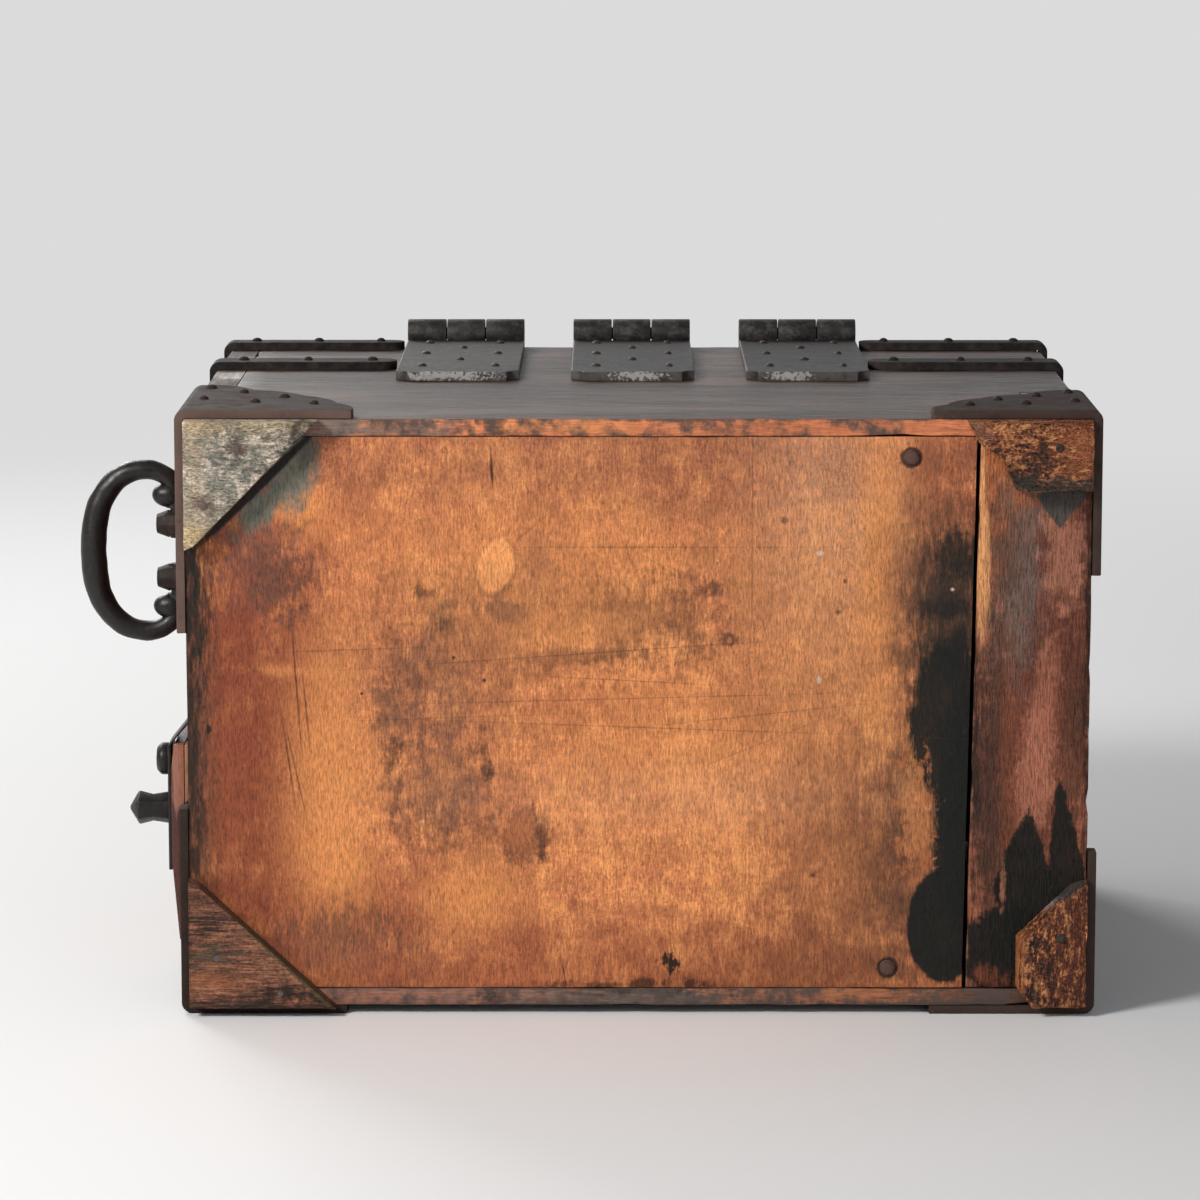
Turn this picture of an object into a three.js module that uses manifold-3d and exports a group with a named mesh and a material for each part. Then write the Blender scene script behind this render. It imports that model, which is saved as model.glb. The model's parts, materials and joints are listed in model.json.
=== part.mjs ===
// A ship's chest of wood bound with iron, lying on one long side as it is photographed.
// Millimetres, +Z up, the back panel towards -Y, the hinged door at +Y, the handle at -X.
import * as THREE from 'three';
import * as BufferGeometryUtils from 'three/addons/utils/BufferGeometryUtils.js';
import Module from 'manifold-3d';

const wasm = await Module();
wasm.setup();

// Clearances that every piece uses
const FIT = 0.3;
const RUNNING = 0.3;
const OVERRUN = 2;
const CURVE_STEPS = 3;

// Case of four boards, open at the front
const CASE_WIDTH = 470;
const CASE_DEPTH = 350;
const CASE_HEIGHT = 310;
const BOARD = 16;
const LIP = 9;
const PANEL = 12;
const PANEL_RECESS = 1;
const STRIP_WIDTH = 60;
const PANEL_GAP = 2;
const PANEL_GAP_LEAN = 5;
const PATCH_WIDTH = 29;
const PATCH_DEPTH = 118;
const SHELF = 12;
const SHELF_FROM_RIGHT = 99;
const SHELF_SETBACK = 10;

// Two nails that hold the back panel to the shelf
const NAIL_HEAD = 4.7;
const NAIL_DOME = 2;
const NAIL_SHANK = 2.2;
const NAIL_LENGTH = 26;
const NAIL_EDGE_UPPER = 20;
const NAIL_EDGE_LOWER = 20;
const NAIL_SIDES = 12;
const NAIL_PROFILE_SHARES = [[1, 0], [1, 0.4], [0.7, 0.85], [0, 1]];

// Wooden corner blocks on the back, all worn and two of them broken
const FOOT = 10;
const FOOT_TALL = 68;
const FOOT_WIDE = 70;
const FOOT_LOW_WIDE = 77;
const FOOT_BROKEN_WIDE = 66;
const FOOT_BROKEN_TALL = 37;
const FOOT_NARROW_WIDE = 37;
const FOOT_NARROW_TALL = 68;
const TRIANGLE_SHARES = [[0, 0], [1, 0], [0.94, 0.06], [0.07, 0.97], [0, 1]];
const BROKEN_SHARES = [[0, 0], [1, 0], [0.9, 0.33], [0.74, 0.52], [0.6, 1], [0, 1]];
const NARROW_SHARES = [[0, 0], [0.78, 0], [1, 0.16], [1, 0.56], [0.22, 0.97], [0, 1]];

// Wrought iron irons and bands
const IRON = 4.5;
const RIVET = 3.4;
const RIVET_DOME = 2.2;
const RIVET_SINK = 0.6;
const RIVET_SIDES = 8;
const RIVET_PROFILE_SHARES = [[1, 0], [0.72, 0.68], [0, 1]];
const CUSP_SHARES = [[0.9, 0.27], [0.68, 0.57], [0.36, 0.79], [0.1, 1]];
const LOBE_SHARE = 1.1;
const CORNER_RIVET_SHARES = [[0.08, 0.42], [0.08, 0.86], [0.3, 0.68], [0.56, 0.5], [0.4, 0.3], [0.76, 0.24]];
const TOP_LEFT_WIDE = 86;
const TOP_RIGHT_WIDE = 82;
const BOTTOM_WIDE = 81;
const LEFT_TALL = 111;
const RIGHT_TALL = 81;
const LEFT_LOW_TALL = 104;
const LEFT_DEEP = 113;
const RIGHT_DEEP = 91;
const BAND_NEAR = 20;
const BAND_FAR = 15;
const BAND_NEAR_TO_HANDLE = 43;
const BAND_FAR_FROM_FRONT = 19;
const BAND_TALL = 104;
const BAND_UNDER = 100;
const BAND_TO_HINGE = 1.5;
const BAND_RIVET_SHARES = [0.14, 0.5, 0.86];

// Three strap hinges along the top front edge
const HINGES = 3;
const HINGE_WIDTH = 68;
const HINGE_PITCH = 96.7;
const HINGE_SHIFT = -2.3;
const LEAF = 5;
const LEAF_REACH = 175;
const DOOR_LEAF_REACH = 140;
const LEAF_NOTCH = 7;
const KNUCKLE = 8.25;
const KNUCKLE_GAP = 0.6;
const KNUCKLE_SIDES = 20;
const PIN = 3.5;
const LEAF_RIVET_SHARES = [
  [-0.3, 0.18], [0.3, 0.18], [0, 0.37], [-0.3, 0.56], [0.3, 0.56], [0, 0.74], [-0.3, 0.9], [0.3, 0.9],
];

// Door
const DOOR = 18;
const DOOR_GAP = 1.5;
const BATTEN = 12;
const BATTEN_WIDTH = 30;
const BATTEN_FROM_SIDE = 70;
const BATTEN_SHORT = 10;
const DOOR_IRON = 3;
const DOOR_IRON_TO_HINGE = 20.5;
const DOOR_IRON_RIVET_SHARES = [[0.14, 0.14], [0.7, 0.14], [0.14, 0.7], [0.46, 0.46]];
const DOOR_IRON_EDGE = 2;

// Lock on the door, with a bolt that slides into the bottom board
const LOCK_PLATE_WIDTH = 100;
const LOCK_PLATE_HEIGHT = 92;
const LOCK_PLATE_RIVET_SHARE = 0.42;
const LOCK_PLATE_EDGE = 4;
const BOLT_WIDTH = 28;
const BOLT_THICK = 10;
const BOLT_LENGTH = 62;
const BOLT_RUNNING = 0.4;
const LOCK_WALL = 2.5;
const LOCK_HEIGHT = 70;
const LOCK_SETUP = 6;
const MORTISE = 11;
const MORTISE_CLEAR = 1.2;

// Carrying handle on the left wall
const HANDLE_FROM_BACK = 172;
const HANDLE_UP = 216;
const BAIL_HALF = 45.5;
const BAIL_REACH = 66;
const BAIL_GRIP = 7.2;
const BAIL_ARM = 5.2;
const BAIL_SIDES = 12;
const BAIL_STEPS = 34;
// Half of the bail, as shares of its reach and half height, from the pivot to the grip's middle
const BAIL_SHARES = [[0.3, 0.72], [0.36, 0.9], [0.52, 1], [0.72, 0.95], [0.87, 0.76], [0.97, 0.45], [1, 0]];
const PIVOT_OUT = 20;
const KNOB = 7;
const KNOB_OUT_SHARE = 0.84;
const KNOB_UP = 31;
const TRUNNION = 3;
const POST_UP = 15;
const POST = 7.8;
const POST_NECK = 5.6;
const POST_TIP = 4.4;
const POST_OUT = 33;
const POST_SHANK = 4;
const POST_SIDES = 8;
const WASHER = 2;
const WASHER_RADIUS = 12;
const WASHER_SIDES = 16;

// Guard bar, strap, stud and turning post low on the left wall
const GUARD_FROM_BACK = 79;
const GUARD_DEEP = 66;
const GUARD_LOW = 17;
const GUARD_HIGH = 124;
const GUARD_STANDOFF = 9;
const GUARD_BAR = 7;
// Thickness of the guard bar beyond its inner face, as share of full thickness and of height, from its foot
const GUARD_BAR_SHARES = [[0.48, 0], [0.8, 0.24], [1, 0.4], [1, 0.86], [0.76, 1]];
const SPACER_HIGH = 32;
const SPACER_SLANT = 6;
const SPACER_LOW_UP = 24;
const SPACER_LOW_TALL = 24;
const SPACER_LOW_DEEP = 40;
const STRAP = 2;
const STRAP_WIDTH = 26;
const STRAP_INSET = 6;
const STRAP_TOP = 142;
const STRAP_LOW = 54;
const STRAP_FOOT = 12;
const STUD_UP = 113;
const STUD = 8.8;
const STUD_OUT = 7;
const STUD_PROFILE_SHARES = [[0, 0], [1, 0], [1, 0.55], [0.72, 0.9], [0, 1]];
const TURN_UP = 86;
const TURN_POST = 9;
const TURN_WAIST = 7.6;
const TURN_FLARE = 9.6;
const TURN_OUT = 22;
const TURN_TIP = 5.5;
const TURN_WAIST_SHARE = 0.4;
const TURN_JOURNAL = 4.5;
const TURN_SIDES = 6;
const ROUND_SIDES = 18;

// Faces of the case, from the sizes above
const LEFT = -CASE_WIDTH / 2;
const RIGHT = CASE_WIDTH / 2;
const BACK = -CASE_DEPTH / 2;
const FRONT = CASE_DEPTH / 2;
const BOTTOM = IRON + FIT;
const TOP = BOTTOM + CASE_HEIGHT;
const REBATE = PANEL + PANEL_RECESS + FIT;
const INNER_TOP = TOP - BOARD;
const INNER_BOTTOM = BOTTOM + BOARD;
const PANEL_FACE = BACK + PANEL_RECESS;
const SHELF_X = RIGHT - SHELF_FROM_RIGHT;
const AXIS_Y = FRONT + FIT + LEAF - KNUCKLE;
const AXIS_Z = TOP + FIT + KNUCKLE;
const DOOR_BACK = FRONT - DOOR;
const DOOR_LEFT = LEFT + BOARD + DOOR_GAP;
const DOOR_RIGHT = RIGHT - BOARD - DOOR_GAP;
const DOOR_TOP = INNER_TOP - DOOR_GAP;
const DOOR_BOTTOM = INNER_BOTTOM + DOOR_GAP;
const hingeX = (i) => HINGE_SHIFT + (i - (HINGES - 1) / 2) * HINGE_PITCH;
const HINGE_LEFT = hingeX(0) - HINGE_WIDTH / 2;
const DOOR_IRON_REACH = HINGE_LEFT - DOOR_IRON_TO_HINGE - DOOR_LEFT - DOOR_IRON_EDGE;

// Finishes
function finish(color, roughness, metalness) {
  return new THREE.MeshStandardMaterial({ color, roughness, metalness });
}

const warmWood = finish('#9c5a2a', 0.55, 0);
const darkWood = finish('#4d3d35', 0.6, 0);
const innerWood = finish('#a98258', 0.8, 0);
const wornWood = finish('#8a7a52', 0.85, 0);
const brokenWood = finish('#8a4a22', 0.85, 0);
const lacquer = finish('#5a2318', 0.35, 0);
const rawWood = finish('#b2602c', 0.75, 0);
const rustedIron = finish('#33241f', 0.6, 0.8);
const steelGrey = finish('#3c3a3a', 0.5, 0.85);
const blackIron = finish('#17171a', 0.4, 0.9);

// Geometry helpers
const X = new THREE.Vector3(1, 0, 0);
const Y = new THREE.Vector3(0, 1, 0);
const Z = new THREE.Vector3(0, 0, 1);
const minus = (axis) => axis.clone().negate();

function bare(geometry) {
  const points = geometry.index ? geometry.toNonIndexed() : geometry.clone();
  points.deleteAttribute('normal');
  points.deleteAttribute('uv');
  const merged = BufferGeometryUtils.mergeVertices(points);
  const whole = [];
  const index = merged.index.array;
  for (let i = 0; i < index.length; i += 3) {
    const [a, b, c] = [index[i], index[i + 1], index[i + 2]];
    if (a !== b && b !== c && c !== a) whole.push(a, b, c);
  }
  merged.setIndex(whole);
  return merged;
}

function flipped(geometry) {
  const index = geometry.index.array;
  for (let i = 0; i < index.length; i += 3) {
    [index[i + 1], index[i + 2]] = [index[i + 2], index[i + 1]];
  }
  return geometry;
}

// Lays a shape made along x, y and z on three axes of the chest, keeping its faces outwards
function laid(geometry, along, across, out, origin = [0, 0, 0]) {
  const place = new THREE.Matrix4().makeBasis(along, across, out).setPosition(...origin);
  const shape = bare(geometry).applyMatrix4(place);
  return place.determinant() < 0 ? flipped(shape) : shape;
}

function toSolid(geometry) {
  const shape = bare(geometry);
  const vertProperties = new Float32Array(shape.attributes.position.array);
  const triVerts = new Uint32Array(shape.index.array);
  return new wasm.Manifold(new wasm.Mesh({ numProp: 3, vertProperties, triVerts }));
}

function fromSolid(solid) {
  const mesh = solid.getMesh();
  const geometry = new THREE.BufferGeometry();
  geometry.setAttribute('position', new THREE.BufferAttribute(mesh.vertProperties, 3));
  geometry.setIndex(new THREE.BufferAttribute(mesh.triVerts, 1));
  return geometry;
}

function joined(pieces, cuts = []) {
  let solid = toSolid(pieces[0]);
  for (const piece of pieces.slice(1)) solid = solid.add(toSolid(piece));
  for (const tool of cuts) solid = solid.subtract(toSolid(tool));
  return fromSolid(solid);
}

function block(low, high) {
  const size = low.map((value, i) => high[i] - value);
  const middle = low.map((value, i) => (value + high[i]) / 2);
  return new THREE.BoxGeometry(...size).translate(...middle);
}

function outline(points) {
  return new THREE.Shape(points.map(([a, b]) => new THREE.Vector2(a, b)));
}

function plate(shape, thickness, curveSegments = CURVE_STEPS) {
  return new THREE.ExtrudeGeometry(shape, { depth: thickness, bevelEnabled: false, curveSegments });
}

// A turned shape from radius and height pairs, with its axis along z
function turned(profile, sides) {
  const points = profile.map(([radius, height]) => new THREE.Vector2(radius, height));
  return new THREE.LatheGeometry(points, sides).rotateX(Math.PI / 2);
}

function rod(radius, length, sides = ROUND_SIDES) {
  return turned([[0, 0], [radius, 0], [radius, length], [0, length]], sides);
}

function ring(inner, outer, length, sides) {
  return turned([[inner, 0], [outer, 0], [outer, length], [inner, length], [inner, 0]], sides);
}

// A rivet head that stands on a plate's face and reaches a little into it
function rivet(a, b, height) {
  const dome = RIVET_PROFILE_SHARES.map(([across, up]) => [across * RIVET, up * RIVET_DOME]);
  const profile = [[0, -RIVET_SINK], [RIVET, -RIVET_SINK], ...dome];
  return turned(profile, RIVET_SIDES).translate(a, b, height);
}

function rivets(places, height) {
  return places.map(([a, b]) => rivet(a, b, height));
}

// The chest and its moving groups, centred on the floor
const chest = new THREE.Group();
const REACH_LEFT = LEFT - BAIL_REACH - BAIL_GRIP;
const REACH_RIGHT = RIGHT + FIT + IRON + RIVET_DOME;
const REACH_BACK = BACK - FIT - FOOT;
const REACH_FRONT = FRONT + FIT + LEAF + RIVET_DOME;
chest.position.set(-(REACH_LEFT + REACH_RIGHT) / 2, -(REACH_BACK + REACH_FRONT) / 2, 0);

function add(name, geometry, material, place = [0, 0, 0], parent = chest) {
  const mesh = new THREE.Mesh(geometry, material);
  mesh.name = name;
  mesh.position.set(...place);
  parent.add(mesh);
  return mesh;
}

// Nails through the back panel into the shelf
const nailPlaces = [
  ['panel_nail_upper', [SHELF_X + PANEL_GAP_LEAN, PANEL_FACE, TOP - NAIL_EDGE_UPPER]],
  ['panel_nail_lower', [SHELF_X - PANEL_GAP_LEAN, PANEL_FACE, BOTTOM + NAIL_EDGE_LOWER]],
];

function nail() {
  const shank = NAIL_SHANK;
  const head = NAIL_PROFILE_SHARES.map(([across, up]) => [across * NAIL_HEAD, FIT + up * NAIL_DOME]);
  const profile = [[0, -NAIL_LENGTH], [shank, -NAIL_LENGTH + shank], [shank, FIT], ...head];
  return laid(turned(profile, NAIL_SIDES), X, Z, minus(Y));
}

function nailHoles() {
  return nailPlaces.map(([, place]) => {
    const hole = rod(NAIL_SHANK + FIT, NAIL_LENGTH + FIT + OVERRUN, NAIL_SIDES);
    return laid(hole, X, Z, Y, [place[0], place[1] - OVERRUN, place[2]]);
  });
}

// Top and bottom boards, rebated at the back for the panel, drawn with the inner face downwards
function boardProfile(farEdge) {
  return outline([
    [BACK, 0], [BACK, -LIP], [BACK + REBATE, -LIP], [BACK + REBATE, -BOARD], [farEdge, -BOARD], [farEdge, 0],
  ]);
}

function longBoard(upwards) {
  const length = CASE_WIDTH - BOARD - FIT;
  const face = upwards > 0 ? TOP : BOTTOM;
  const out = Z.clone().multiplyScalar(upwards);
  return laid(plate(boardProfile(FRONT), length), Y, out, X, [LEFT + BOARD + FIT, 0, face]);
}

function topBoard() {
  const notch = block(
    [RIGHT - PATCH_WIDTH, BACK - OVERRUN, INNER_TOP - OVERRUN],
    [RIGHT + OVERRUN, BACK + PATCH_DEPTH, TOP + OVERRUN],
  );
  return joined([longBoard(1)], [notch]);
}

function cornerPatch() {
  const profile = plate(boardProfile(BACK + PATCH_DEPTH - FIT), PATCH_WIDTH - FIT);
  return laid(profile, Y, Z, X, [RIGHT - PATCH_WIDTH + FIT, 0, TOP]);
}

function bottomBoard() {
  const side = BOLT_WIDTH / 2 + MORTISE_CLEAR;
  const boltBack = DOOR_BACK - BOLT_RUNNING - BOLT_THICK;
  const mortise = block(
    [-side, boltBack - MORTISE_CLEAR, INNER_BOTTOM - MORTISE],
    [side, boltBack + BOLT_THICK + MORTISE_CLEAR, INNER_BOTTOM + OVERRUN],
  );
  return joined([longBoard(-1)], [mortise]);
}

// Left board, as tall as the case, whose ends show beside the top and bottom boards
function leftBoard() {
  const shape = outline([
    [BACK, BOTTOM], [FRONT, BOTTOM], [FRONT, TOP], [BACK, TOP], [BACK, TOP - LIP],
    [BACK + REBATE, TOP - LIP], [BACK + REBATE, BOTTOM + LIP], [BACK, BOTTOM + LIP],
  ]);
  const holes = handleUps.map((up) => {
    const hole = rod(POST_SHANK + FIT, BOARD + OVERRUN * 2);
    return laid(hole, Y, Z, X, [LEFT - OVERRUN, BACK + HANDLE_FROM_BACK, up]);
  });
  return joined([laid(plate(shape, BOARD), Y, Z, X, [LEFT, 0, 0])], holes);
}

function rightBoard() {
  return block([RIGHT - BOARD, BACK + REBATE, INNER_BOTTOM + FIT], [RIGHT, FRONT, INNER_TOP - FIT]);
}

function shelf() {
  const low = [SHELF_X - SHELF / 2, BACK + REBATE + FIT, INNER_BOTTOM + FIT];
  const high = [SHELF_X + SHELF / 2, DOOR_BACK - BATTEN - SHELF_SETBACK, INNER_TOP - FIT];
  return joined([block(low, high)], nailHoles());
}

// Back panel of two boards with an open, leaning joint between them
function panelBoard(corners) {
  return laid(plate(outline(corners), PANEL), X, Z, Y, [0, PANEL_FACE, 0]);
}

const PANEL_TOP = TOP - LIP - FIT;
const PANEL_BOTTOM = BOTTOM + LIP + FIT;
const JOINT_X = RIGHT - STRIP_WIDTH;

function mainPanel() {
  const corners = [
    [LEFT, PANEL_BOTTOM], [JOINT_X - PANEL_GAP_LEAN, PANEL_BOTTOM], [JOINT_X, PANEL_TOP], [LEFT, PANEL_TOP],
  ];
  return joined([panelBoard(corners)], nailHoles());
}

function stripPanel() {
  return panelBoard([
    [JOINT_X + PANEL_GAP - PANEL_GAP_LEAN, PANEL_BOTTOM], [RIGHT, PANEL_BOTTOM],
    [RIGHT, PANEL_TOP], [JOINT_X + PANEL_GAP, PANEL_TOP],
  ]);
}

// A corner block drawn from its corner, inwards and upwards, and mirrored to the corner it sits on
function foot(shares, wide, tall, sideX, sideZ) {
  const shape = outline(shares.map(([a, b]) => [a * wide, b * tall]));
  const along = X.clone().multiplyScalar(-sideX);
  const up = Z.clone().multiplyScalar(-sideZ);
  const corner = [sideX * CASE_WIDTH / 2, BACK - FIT, sideZ > 0 ? TOP : BOTTOM];
  return laid(plate(shape, FOOT), along, up, minus(Y), corner);
}

// Scalloped quarter of sheet iron, from a corner at the origin
function quarter(wide, deep, wrap) {
  const shape = new THREE.Shape();
  shape.moveTo(-wrap, 0);
  shape.lineTo(wide, 0);
  let last = [wide, 0];
  for (const [a, b] of CUSP_SHARES) {
    const next = [a * wide, b * deep];
    const middle = [(last[0] + next[0]) / 2 * LOBE_SHARE, (last[1] + next[1]) / 2 * LOBE_SHARE];
    shape.quadraticCurveTo(...middle, ...next);
    last = next;
  }
  shape.lineTo(-wrap, deep);
  return shape;
}

// An angle of sheet iron over an edge of the case: a flat part, a side part and their rivets
function angleIron(flatShape, sideShape, flatRivets, sideRivets) {
  const flat = plate(flatShape, IRON).translate(0, 0, FIT);
  const side = plate(sideShape, IRON).translate(0, 0, FIT);
  const heads = rivets(flatRivets, FIT + IRON);
  const sideHeads = rivets(sideRivets, FIT + IRON);
  const turnedDown = (shape) => laid(shape, minus(Z), Y, minus(X));
  return joined([flat, turnedDown(side), ...heads, ...sideHeads.map(turnedDown)]);
}

// Mirrors an angle drawn for the top left edge to any of the four long edges
function onEdge(geometry, sideX, sideZ) {
  return laid(geometry, X.clone().multiplyScalar(-sideX), Y, Z.clone().multiplyScalar(sideZ));
}

function edgePlace(sideX, sideZ, y) {
  return [sideX * CASE_WIDTH / 2, y, sideZ > 0 ? TOP : BOTTOM];
}

function cornerIron(wide, tall, deep, sideX, sideZ) {
  const wrap = IRON + FIT;
  const spots = (a, b) => CORNER_RIVET_SHARES.map(([u, v]) => [u * a, v * b]);
  const flatSpots = sideZ > 0 ? spots(wide, deep) : [];
  const iron = angleIron(quarter(wide, deep, wrap), quarter(tall, deep, wrap), flatSpots, spots(tall, deep));
  return onEdge(iron, sideX, sideZ);
}

function bandShape(length, width) {
  const shape = new THREE.Shape();
  shape.moveTo(-IRON - FIT, 0);
  shape.lineTo(length - width / 2, 0);
  shape.quadraticCurveTo(length, 0, length, width / 2);
  shape.quadraticCurveTo(length, width, length - width / 2, width);
  shape.lineTo(-IRON - FIT, width);
  return shape;
}

function band(flatLength, width, sideX, sideZ) {
  const spots = (length) => BAND_RIVET_SHARES.map((share) => [share * length, width / 2]);
  const flatSpots = sideZ > 0 ? spots(flatLength) : [];
  const shapes = [bandShape(flatLength, width), bandShape(BAND_TALL, width)];
  const iron = angleIron(...shapes, flatSpots, spots(BAND_TALL));
  return onEdge(iron, sideX, sideZ);
}

// Hinges, drawn about their pin's middle
const KNUCKLE_WIDTH = HINGE_WIDTH / HINGES;

function leafShape(reach, slotHalf, slotDeep) {
  const half = HINGE_WIDTH / 2;
  const cut = LEAF_NOTCH;
  const shape = new THREE.Shape();
  shape.moveTo(-half, reach - cut);
  shape.quadraticCurveTo(-half + cut, reach - cut, -half + cut, reach);
  shape.lineTo(half - cut, reach);
  shape.quadraticCurveTo(half - cut, reach - cut, half, reach - cut);
  shape.lineTo(half, 0);
  shape.lineTo(slotHalf, 0);
  shape.lineTo(slotHalf, slotDeep);
  shape.lineTo(-slotHalf, slotDeep);
  shape.lineTo(-slotHalf, 0);
  shape.lineTo(-half, 0);
  return shape;
}

function neckShape(reach, neckHalf, shoulder) {
  const half = HINGE_WIDTH / 2;
  const cut = LEAF_NOTCH;
  const shape = new THREE.Shape();
  shape.moveTo(-half, shoulder);
  shape.lineTo(-half, reach - cut);
  shape.quadraticCurveTo(-half + cut, reach - cut, -half + cut, reach);
  shape.lineTo(half - cut, reach);
  shape.quadraticCurveTo(half - cut, reach - cut, half, reach - cut);
  shape.lineTo(half, shoulder);
  shape.lineTo(neckHalf, shoulder);
  shape.lineTo(neckHalf, 0);
  shape.lineTo(-neckHalf, 0);
  shape.lineTo(-neckHalf, shoulder);
  return shape;
}

function leafRivets(reach, height) {
  const spots = LEAF_RIVET_SHARES.map(([a, b]) => [a * HINGE_WIDTH, reach - b * (reach - KNUCKLE)]);
  return rivets(spots, height);
}

function knuckle(from, length) {
  return laid(ring(PIN + RUNNING, KNUCKLE, length, KNUCKLE_SIDES), Y, Z, X, [from, 0, 0]);
}

function bore() {
  const hole = rod(PIN + RUNNING, HINGE_WIDTH + OVERRUN * 2, KNUCKLE_SIDES);
  return laid(hole, Y, Z, X, [-HINGE_WIDTH / 2 - OVERRUN, 0, 0]);
}

function caseLeaf() {
  const slotHalf = KNUCKLE_WIDTH / 2 + KNUCKLE_GAP / 2;
  const flat = plate(leafShape(LEAF_REACH, slotHalf, KNUCKLE + KNUCKLE_GAP), LEAF);
  const heads = leafRivets(LEAF_REACH, LEAF);
  const onTop = (shape) => laid(shape, X, minus(Y), Z, [0, 0, -KNUCKLE]);
  const length = HINGE_WIDTH / 2 - slotHalf;
  const knuckles = [knuckle(-HINGE_WIDTH / 2, length), knuckle(slotHalf, length)];
  return joined([onTop(flat), ...heads.map(onTop), ...knuckles], [bore()]);
}

function doorLeaf() {
  const half = KNUCKLE_WIDTH / 2 - KNUCKLE_GAP / 2;
  const flat = plate(neckShape(DOOR_LEAF_REACH, half, KNUCKLE + KNUCKLE_GAP), LEAF);
  const heads = leafRivets(DOOR_LEAF_REACH, LEAF);
  const onDoor = (shape) => laid(shape, X, minus(Z), Y, [0, KNUCKLE - LEAF, 0]);
  return joined([onDoor(flat), ...heads.map(onDoor), knuckle(-half, half * 2)], [bore()]);
}

function hingePin() {
  return laid(rod(PIN, HINGE_WIDTH, KNUCKLE_SIDES), Y, Z, X, [-HINGE_WIDTH / 2, 0, 0]);
}

// Door board, battens, corner irons and lock
function doorIron(sideX, sideZ) {
  const flat = plate(quarter(DOOR_IRON_REACH, DOOR_IRON_REACH, 0), DOOR_IRON);
  const spots = DOOR_IRON_RIVET_SHARES.map(([a, b]) => [a * DOOR_IRON_REACH, b * DOOR_IRON_REACH]);
  const iron = joined([flat, ...rivets(spots, DOOR_IRON)]);
  return laid(iron, X.clone().multiplyScalar(-sideX), Z.clone().multiplyScalar(-sideZ), Y);
}

function lockPlate() {
  const half = LOCK_PLATE_WIDTH / 2;
  const cut = LEAF_NOTCH;
  const tall = LOCK_PLATE_HEIGHT;
  const shape = new THREE.Shape();
  shape.moveTo(-half, cut);
  shape.quadraticCurveTo(-half + cut, cut, -half + cut, 0);
  shape.lineTo(half - cut, 0);
  shape.quadraticCurveTo(half - cut, cut, half, cut);
  shape.lineTo(half, tall - cut);
  shape.quadraticCurveTo(half - cut, tall - cut, half - cut, tall);
  shape.lineTo(-half + cut, tall);
  shape.quadraticCurveTo(-half + cut, tall - cut, -half, tall - cut);
  const a = LOCK_PLATE_RIVET_SHARE * LOCK_PLATE_WIDTH;
  const b = LOCK_PLATE_RIVET_SHARE * LOCK_PLATE_HEIGHT;
  const middle = tall / 2;
  const spots = [[-a, middle - b], [a, middle - b], [-a, middle + b], [a, middle + b]];
  return laid(joined([plate(shape, DOOR_IRON), ...rivets(spots, DOOR_IRON)]), X, Z, Y);
}

function lockCase() {
  const inner = BOLT_WIDTH / 2 + BOLT_RUNNING;
  const outer = inner + LOCK_WALL;
  const hollow = BOLT_THICK + BOLT_RUNNING * 2;
  const shape = outline([
    [-outer, 0], [-inner, 0], [-inner, -hollow], [inner, -hollow], [inner, 0], [outer, 0],
    [outer, -hollow - LOCK_WALL], [-outer, -hollow - LOCK_WALL],
  ]);
  return plate(shape, LOCK_HEIGHT);
}

// Handle, posts and washers
const handleUps = [BOTTOM + HANDLE_UP - POST_UP, BOTTOM + HANDLE_UP + POST_UP];

// A tube of changing radius along a curve that lies in the x z plane
function taperedTube(curve, radiusAt, steps, sides) {
  const positions = [];
  const index = [];
  for (let i = 0; i <= steps; i += 1) {
    const t = i / steps;
    const centre = curve.getPointAt(t);
    const side = curve.getTangentAt(t).cross(Y).normalize();
    for (let j = 0; j < sides; j += 1) {
      const angle = (j / sides) * Math.PI * 2;
      const spot = centre.clone().addScaledVector(side, radiusAt(t) * Math.cos(angle));
      spot.addScaledVector(Y, radiusAt(t) * Math.sin(angle));
      positions.push(spot.x, spot.y, spot.z);
    }
  }
  for (let i = 0; i < steps; i += 1) {
    for (let j = 0; j < sides; j += 1) {
      const a = i * sides + j;
      const b = i * sides + ((j + 1) % sides);
      index.push(a, a + sides, b, b, a + sides, b + sides);
    }
  }
  const last = steps * sides;
  for (let j = 1; j < sides - 1; j += 1) {
    index.push(0, j, j + 1);
    index.push(last, last + j + 1, last + j);
  }
  const geometry = new THREE.BufferGeometry();
  geometry.setAttribute('position', new THREE.Float32BufferAttribute(positions, 3));
  geometry.setIndex(index);
  return geometry;
}

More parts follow.
